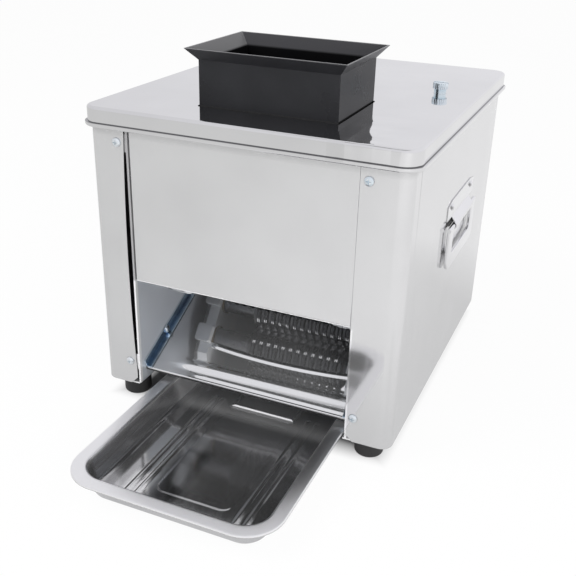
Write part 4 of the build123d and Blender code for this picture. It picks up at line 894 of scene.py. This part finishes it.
def build_tray():
    """A drawn pan with a flat rim, a rolled outer edge and a pressed floor."""
    low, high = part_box("tray")
    middle = (low + high) / 2
    half = (high - low) / 2
    floor = low.z + TRAY_SHEET
    wall_foot = TRAY_RIM + TRAY_DRAFT
    floor_start = wall_foot + 2 * TRAY_BENDS[2]
    rim_line = [(0.0, high.z - TRAY_HEM), (0.0, high.z), (TRAY_RIM, high.z)]
    section = rounded(rim_line + [(wall_foot, floor), (floor_start, floor)], TRAY_BENDS)
    mid_x, mid_y, bend = TRAY_GRID
    last_x, last_y = mid_x + 2 * bend, mid_y + 2 * bend

    def line(index, mid, straight):
        """A grid line's place on the straight side, and how far round a corner it is."""
        if index < bend:
            return -straight, index / bend - 1
        if index > bend + mid:
            return straight, (index - bend - mid) / bend
        return straight * (2 * (index - bend) / mid - 1), 0.0

    def spot(column, row, inset):
        """Where a grid point lies on the rounded rectangle at that inset."""
        corner = TRAY_CORNER - TRAY_CORNER_LOSS * inset
        base_x, u = line(column, mid_x, half.x - inset - corner)
        base_y, v = line(row, mid_y, half.y - inset - corner)
        x = middle.x + base_x + corner * u * sqrt(1 - v * v / 2)
        y = middle.y + base_y + corner * v * sqrt(1 - u * u / 2)
        return x, y

    border = [(column, 0) for column in range(last_x)]
    border += [(last_x, row) for row in range(last_y)]
    border += [(column, last_y) for column in range(last_x, 0, -1)]
    border += [(0, row) for row in range(last_y, 0, -1)]
    verts = [(*spot(*place, inset), height) for inset, height in section for place in border]
    rings, count = len(section), len(border)
    faces = [
        (ring * count + step, ring * count + (step + 1) % count,
         (ring + 1) * count + (step + 1) % count, (ring + 1) * count + step)
        for ring in range(rings - 1) for step in range(count)
    ]
    index = {place: (rings - 1) * count + step for step, place in enumerate(border)}
    for column in range(1, last_x):
        for row in range(1, last_y):
            index[column, row] = len(verts)
            x, y = spot(column, row, floor_start)
            verts.append((x, y, floor + tray_relief(x, y)))
    faces += [
        (index[column, row], index[column + 1, row], index[column + 1, row + 1], index[column, row + 1])
        for column in range(last_x) for row in range(last_y)
    ]
    thicken(made_piece("collecting_tray", verts, faces, "tray", "tray", "tray_steel"), TRAY_SHEET)


# Discharge chute
def chute_ridges(x, along):
    """Height of the pressed ridges at a place on the slope."""
    def ridge(crest, height, front, back, ends, fades):
        """A flank that steepens up to a rounded crest, and a shorter one behind it."""
        off = along - crest
        climb = min(max(1 + off / front, 0), 1)
        rise = 1 - (1 - climb * climb) ** 1.5 if off < 0 else ease(1 - off / back)
        return height * rise * ease((x - ends[0]) / fades[0]) * ease((ends[1] - x) / fades[1])

    broad_crest = BROAD_CREST + BROAD_CLIMB * x
    across = max(x - SLIM_ENDS[0], 0)
    slim_crest = SLIM_CREST + SLIM_SAG[0] * across + SLIM_SAG[1] * across ** 2
    return max(
        ridge(broad_crest, *BROAD_SHAPE, BROAD_ENDS, BROAD_FADES),
        ridge(slim_crest, *SLIM_SHAPE, SLIM_ENDS, SLIM_FADES),
        ridge(HEM_CREST, *HEM_SHAPE, HEM_ENDS, HEM_FADES),
    )


def build_chute():
    """A mirror-polished slope with a turned-down lip and soft pressed ridges."""
    low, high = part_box("discharge_chute")
    lip_z = low.z + CHUTE_LIP_DROP
    back_y = high.y - CHUTE_SHEET
    corner_z = lip_z + (back_y - low.y) * tan(CHUTE_SLOPE)
    corners = [(low.y, low.z), (low.y, lip_z), (back_y, corner_z), (back_y, high.z)]
    profile = divided(rounded(corners, CHUTE_BENDS), CHUTE_STEP)
    columns = CHUTE_COLUMNS + 1
    verts = []
    for y, z in profile:
        for column in range(columns):
            x = low.x + (high.x - low.x) * column / CHUTE_COLUMNS
            lift = chute_ridges(x, (y - low.y) / cos(CHUTE_SLOPE))
            verts.append((x, y - lift * sin(CHUTE_SLOPE), z + lift * cos(CHUTE_SLOPE)))
    rows = range(len(profile) - 1)
    starts = [row * columns + column for row in rows for column in range(CHUTE_COLUMNS)]
    faces = [(start, start + 1, start + columns + 1, start + columns) for start in starts]
    chute = made_piece("chute_sheet", verts, faces, "discharge_chute", "casing", "chute_steel")
    thicken(chute, CHUTE_SHEET)


for node_name in nodes:
    dress(node_name)
build_panel()
build_tray()
build_chute()


# Floor, studio light and camera
def build_floor():
    """Pale floor: white to the camera, with the object's shadow and a painted shadow under the machine, and a
    painted shade in polished metal.
    """
    mesh = bpy.data.meshes.new("floor")
    corners = [(x * FLOOR_REACH, y * FLOOR_REACH, 0) for x, y in ((-1, -1), (1, -1), (1, 1), (-1, 1))]
    mesh.from_pydata(corners, [], [(0, 1, 2, 3)])
    floor = bpy.data.objects.new("floor", mesh)
    floor.location.z = -FLOOR_DROP
    scene.collection.objects.link(floor)
    paint = Surface("floor_paint", Roughness=0.9)
    beside = [
        paint.math("SUBTRACT", paint.math("ABSOLUTE", paint.along(axis)), half)
        for axis, half in FOOTPRINT.items()
    ]
    apart = paint.either(*beside)
    # Painted shadow: dark under the machine, where the camera sees the floor's own shading
    clear = paint.ranged(apart, 0, 1, *FLOOR_UNDER)
    paint.colour(paint.mixed(clear, (0.16, 0.16, 0.16), (0.86, 0.86, 0.865)))
    # Painted shade seen in polished metal: greyer to the left and near the machine
    gradient = paint.mixed(paint.fade("X", 0, 1, *FLOOR_LEFT), (0.74, 0.74, 0.74), (0.92, 0.918, 0.925))
    in_metal = paint.mixed(paint.ranged(apart, 0, 1, *FLOOR_NEAR), (0.68, 0.68, 0.685), gradient)
    light_path = paint.node("ShaderNodeLightPath").outputs
    mirrored = paint.either(light_path["Is Glossy Ray"], light_path["Is Transmission Ray"])
    seen = paint.either(light_path["Is Camera Ray"], mirrored)
    glow = paint.node("ShaderNodeEmission")
    paint.link(paint.mixed(mirrored, (1.0, 1.0, 1.0), in_metal), glow.inputs["Color"])
    mix = paint.node("ShaderNodeMixShader")
    paint.link(paint.both(seen, paint.both(clear, 0.95)), mix.inputs[0])
    paint.link(paint.shader.outputs[0], mix.inputs[1])
    paint.link(glow.outputs[0], mix.inputs[2])
    paint.link(mix.outputs[0], paint.tree.nodes["Material Output"].inputs["Surface"])
    mesh.materials.append(paint.material)


def build_world():
    """White studio: white to the camera, a faint gradient in polished metal, softer as a light."""
    scene.world = bpy.data.worlds.new("studio")
    scene.world.use_nodes = True
    studio = Nodes(scene.world.node_tree)
    heading = studio.node("ShaderNodeTexCoord").outputs["Generated"]
    rightward = studio.ranged(studio.part(heading, "X"), 0, 1, *STUDIO_LEFT)
    overhead = studio.ranged(studio.part(heading, "Z"), 0, 1, *CANOPY_HEIGHT)
    toward_front = studio.ranged(studio.part(heading, "Y"), 0, 1, *CANOPY_BACK)
    gradient = studio.mixed(rightward, (0.80, 0.797, 0.825), (0.935, 0.93, 0.965))
    gradient = studio.mixed(studio.both(overhead, toward_front), gradient, (0.22, 0.22, 0.225))
    light_path = studio.node("ShaderNodeLightPath").outputs
    lit = studio.mixed(light_path["Is Glossy Ray"], (0.55, 0.55, 0.55), gradient)
    shown = studio.mixed(light_path["Is Camera Ray"], lit, (1.0, 1.0, 1.0))
    studio.link(shown, studio.tree.nodes["Background"].inputs["Color"])


def add_lamp(name, place, target, size, power):
    """A soft lamp that polished metal doesn't mirror."""
    lamp = bpy.data.lights.new(name, "AREA")
    lamp.shape = "RECTANGLE"
    lamp.size, lamp.size_y = size
    lamp.energy = power
    holder = bpy.data.objects.new(name, lamp)
    holder.location = place
    holder.rotation_euler = (Vector(target) - Vector(place)).to_track_quat("-Z", "Y").to_euler()
    holder.visible_glossy = False
    scene.collection.objects.link(holder)


def build_camera():
    """A camera that sees the machine as the photograph does."""
    camera = bpy.data.cameras.new("camera")
    camera.lens = CAMERA_LENS
    holder = bpy.data.objects.new("camera", camera)
    az, el, roll = CAMERA_AZIMUTH, CAMERA_ELEVATION, CAMERA_ROLL
    back = Vector((sin(az) * cos(el), -cos(az) * cos(el), sin(el)))
    level_right = Vector((cos(az), sin(az), 0))
    level_up = back.cross(level_right)
    right = level_right * cos(roll) + level_up * sin(roll)
    up = back.cross(right)
    turn = Matrix((right, up, back)).transposed()
    holder.matrix_world = Matrix.Translation(CAMERA_PLACE) @ turn.to_4x4()
    scene.collection.objects.link(holder)
    scene.camera = holder


build_floor()
build_world()
for lamp_name, settings in LAMPS.items():
    add_lamp(lamp_name, *settings)
build_camera()
scene.view_settings.view_transform = "Standard"
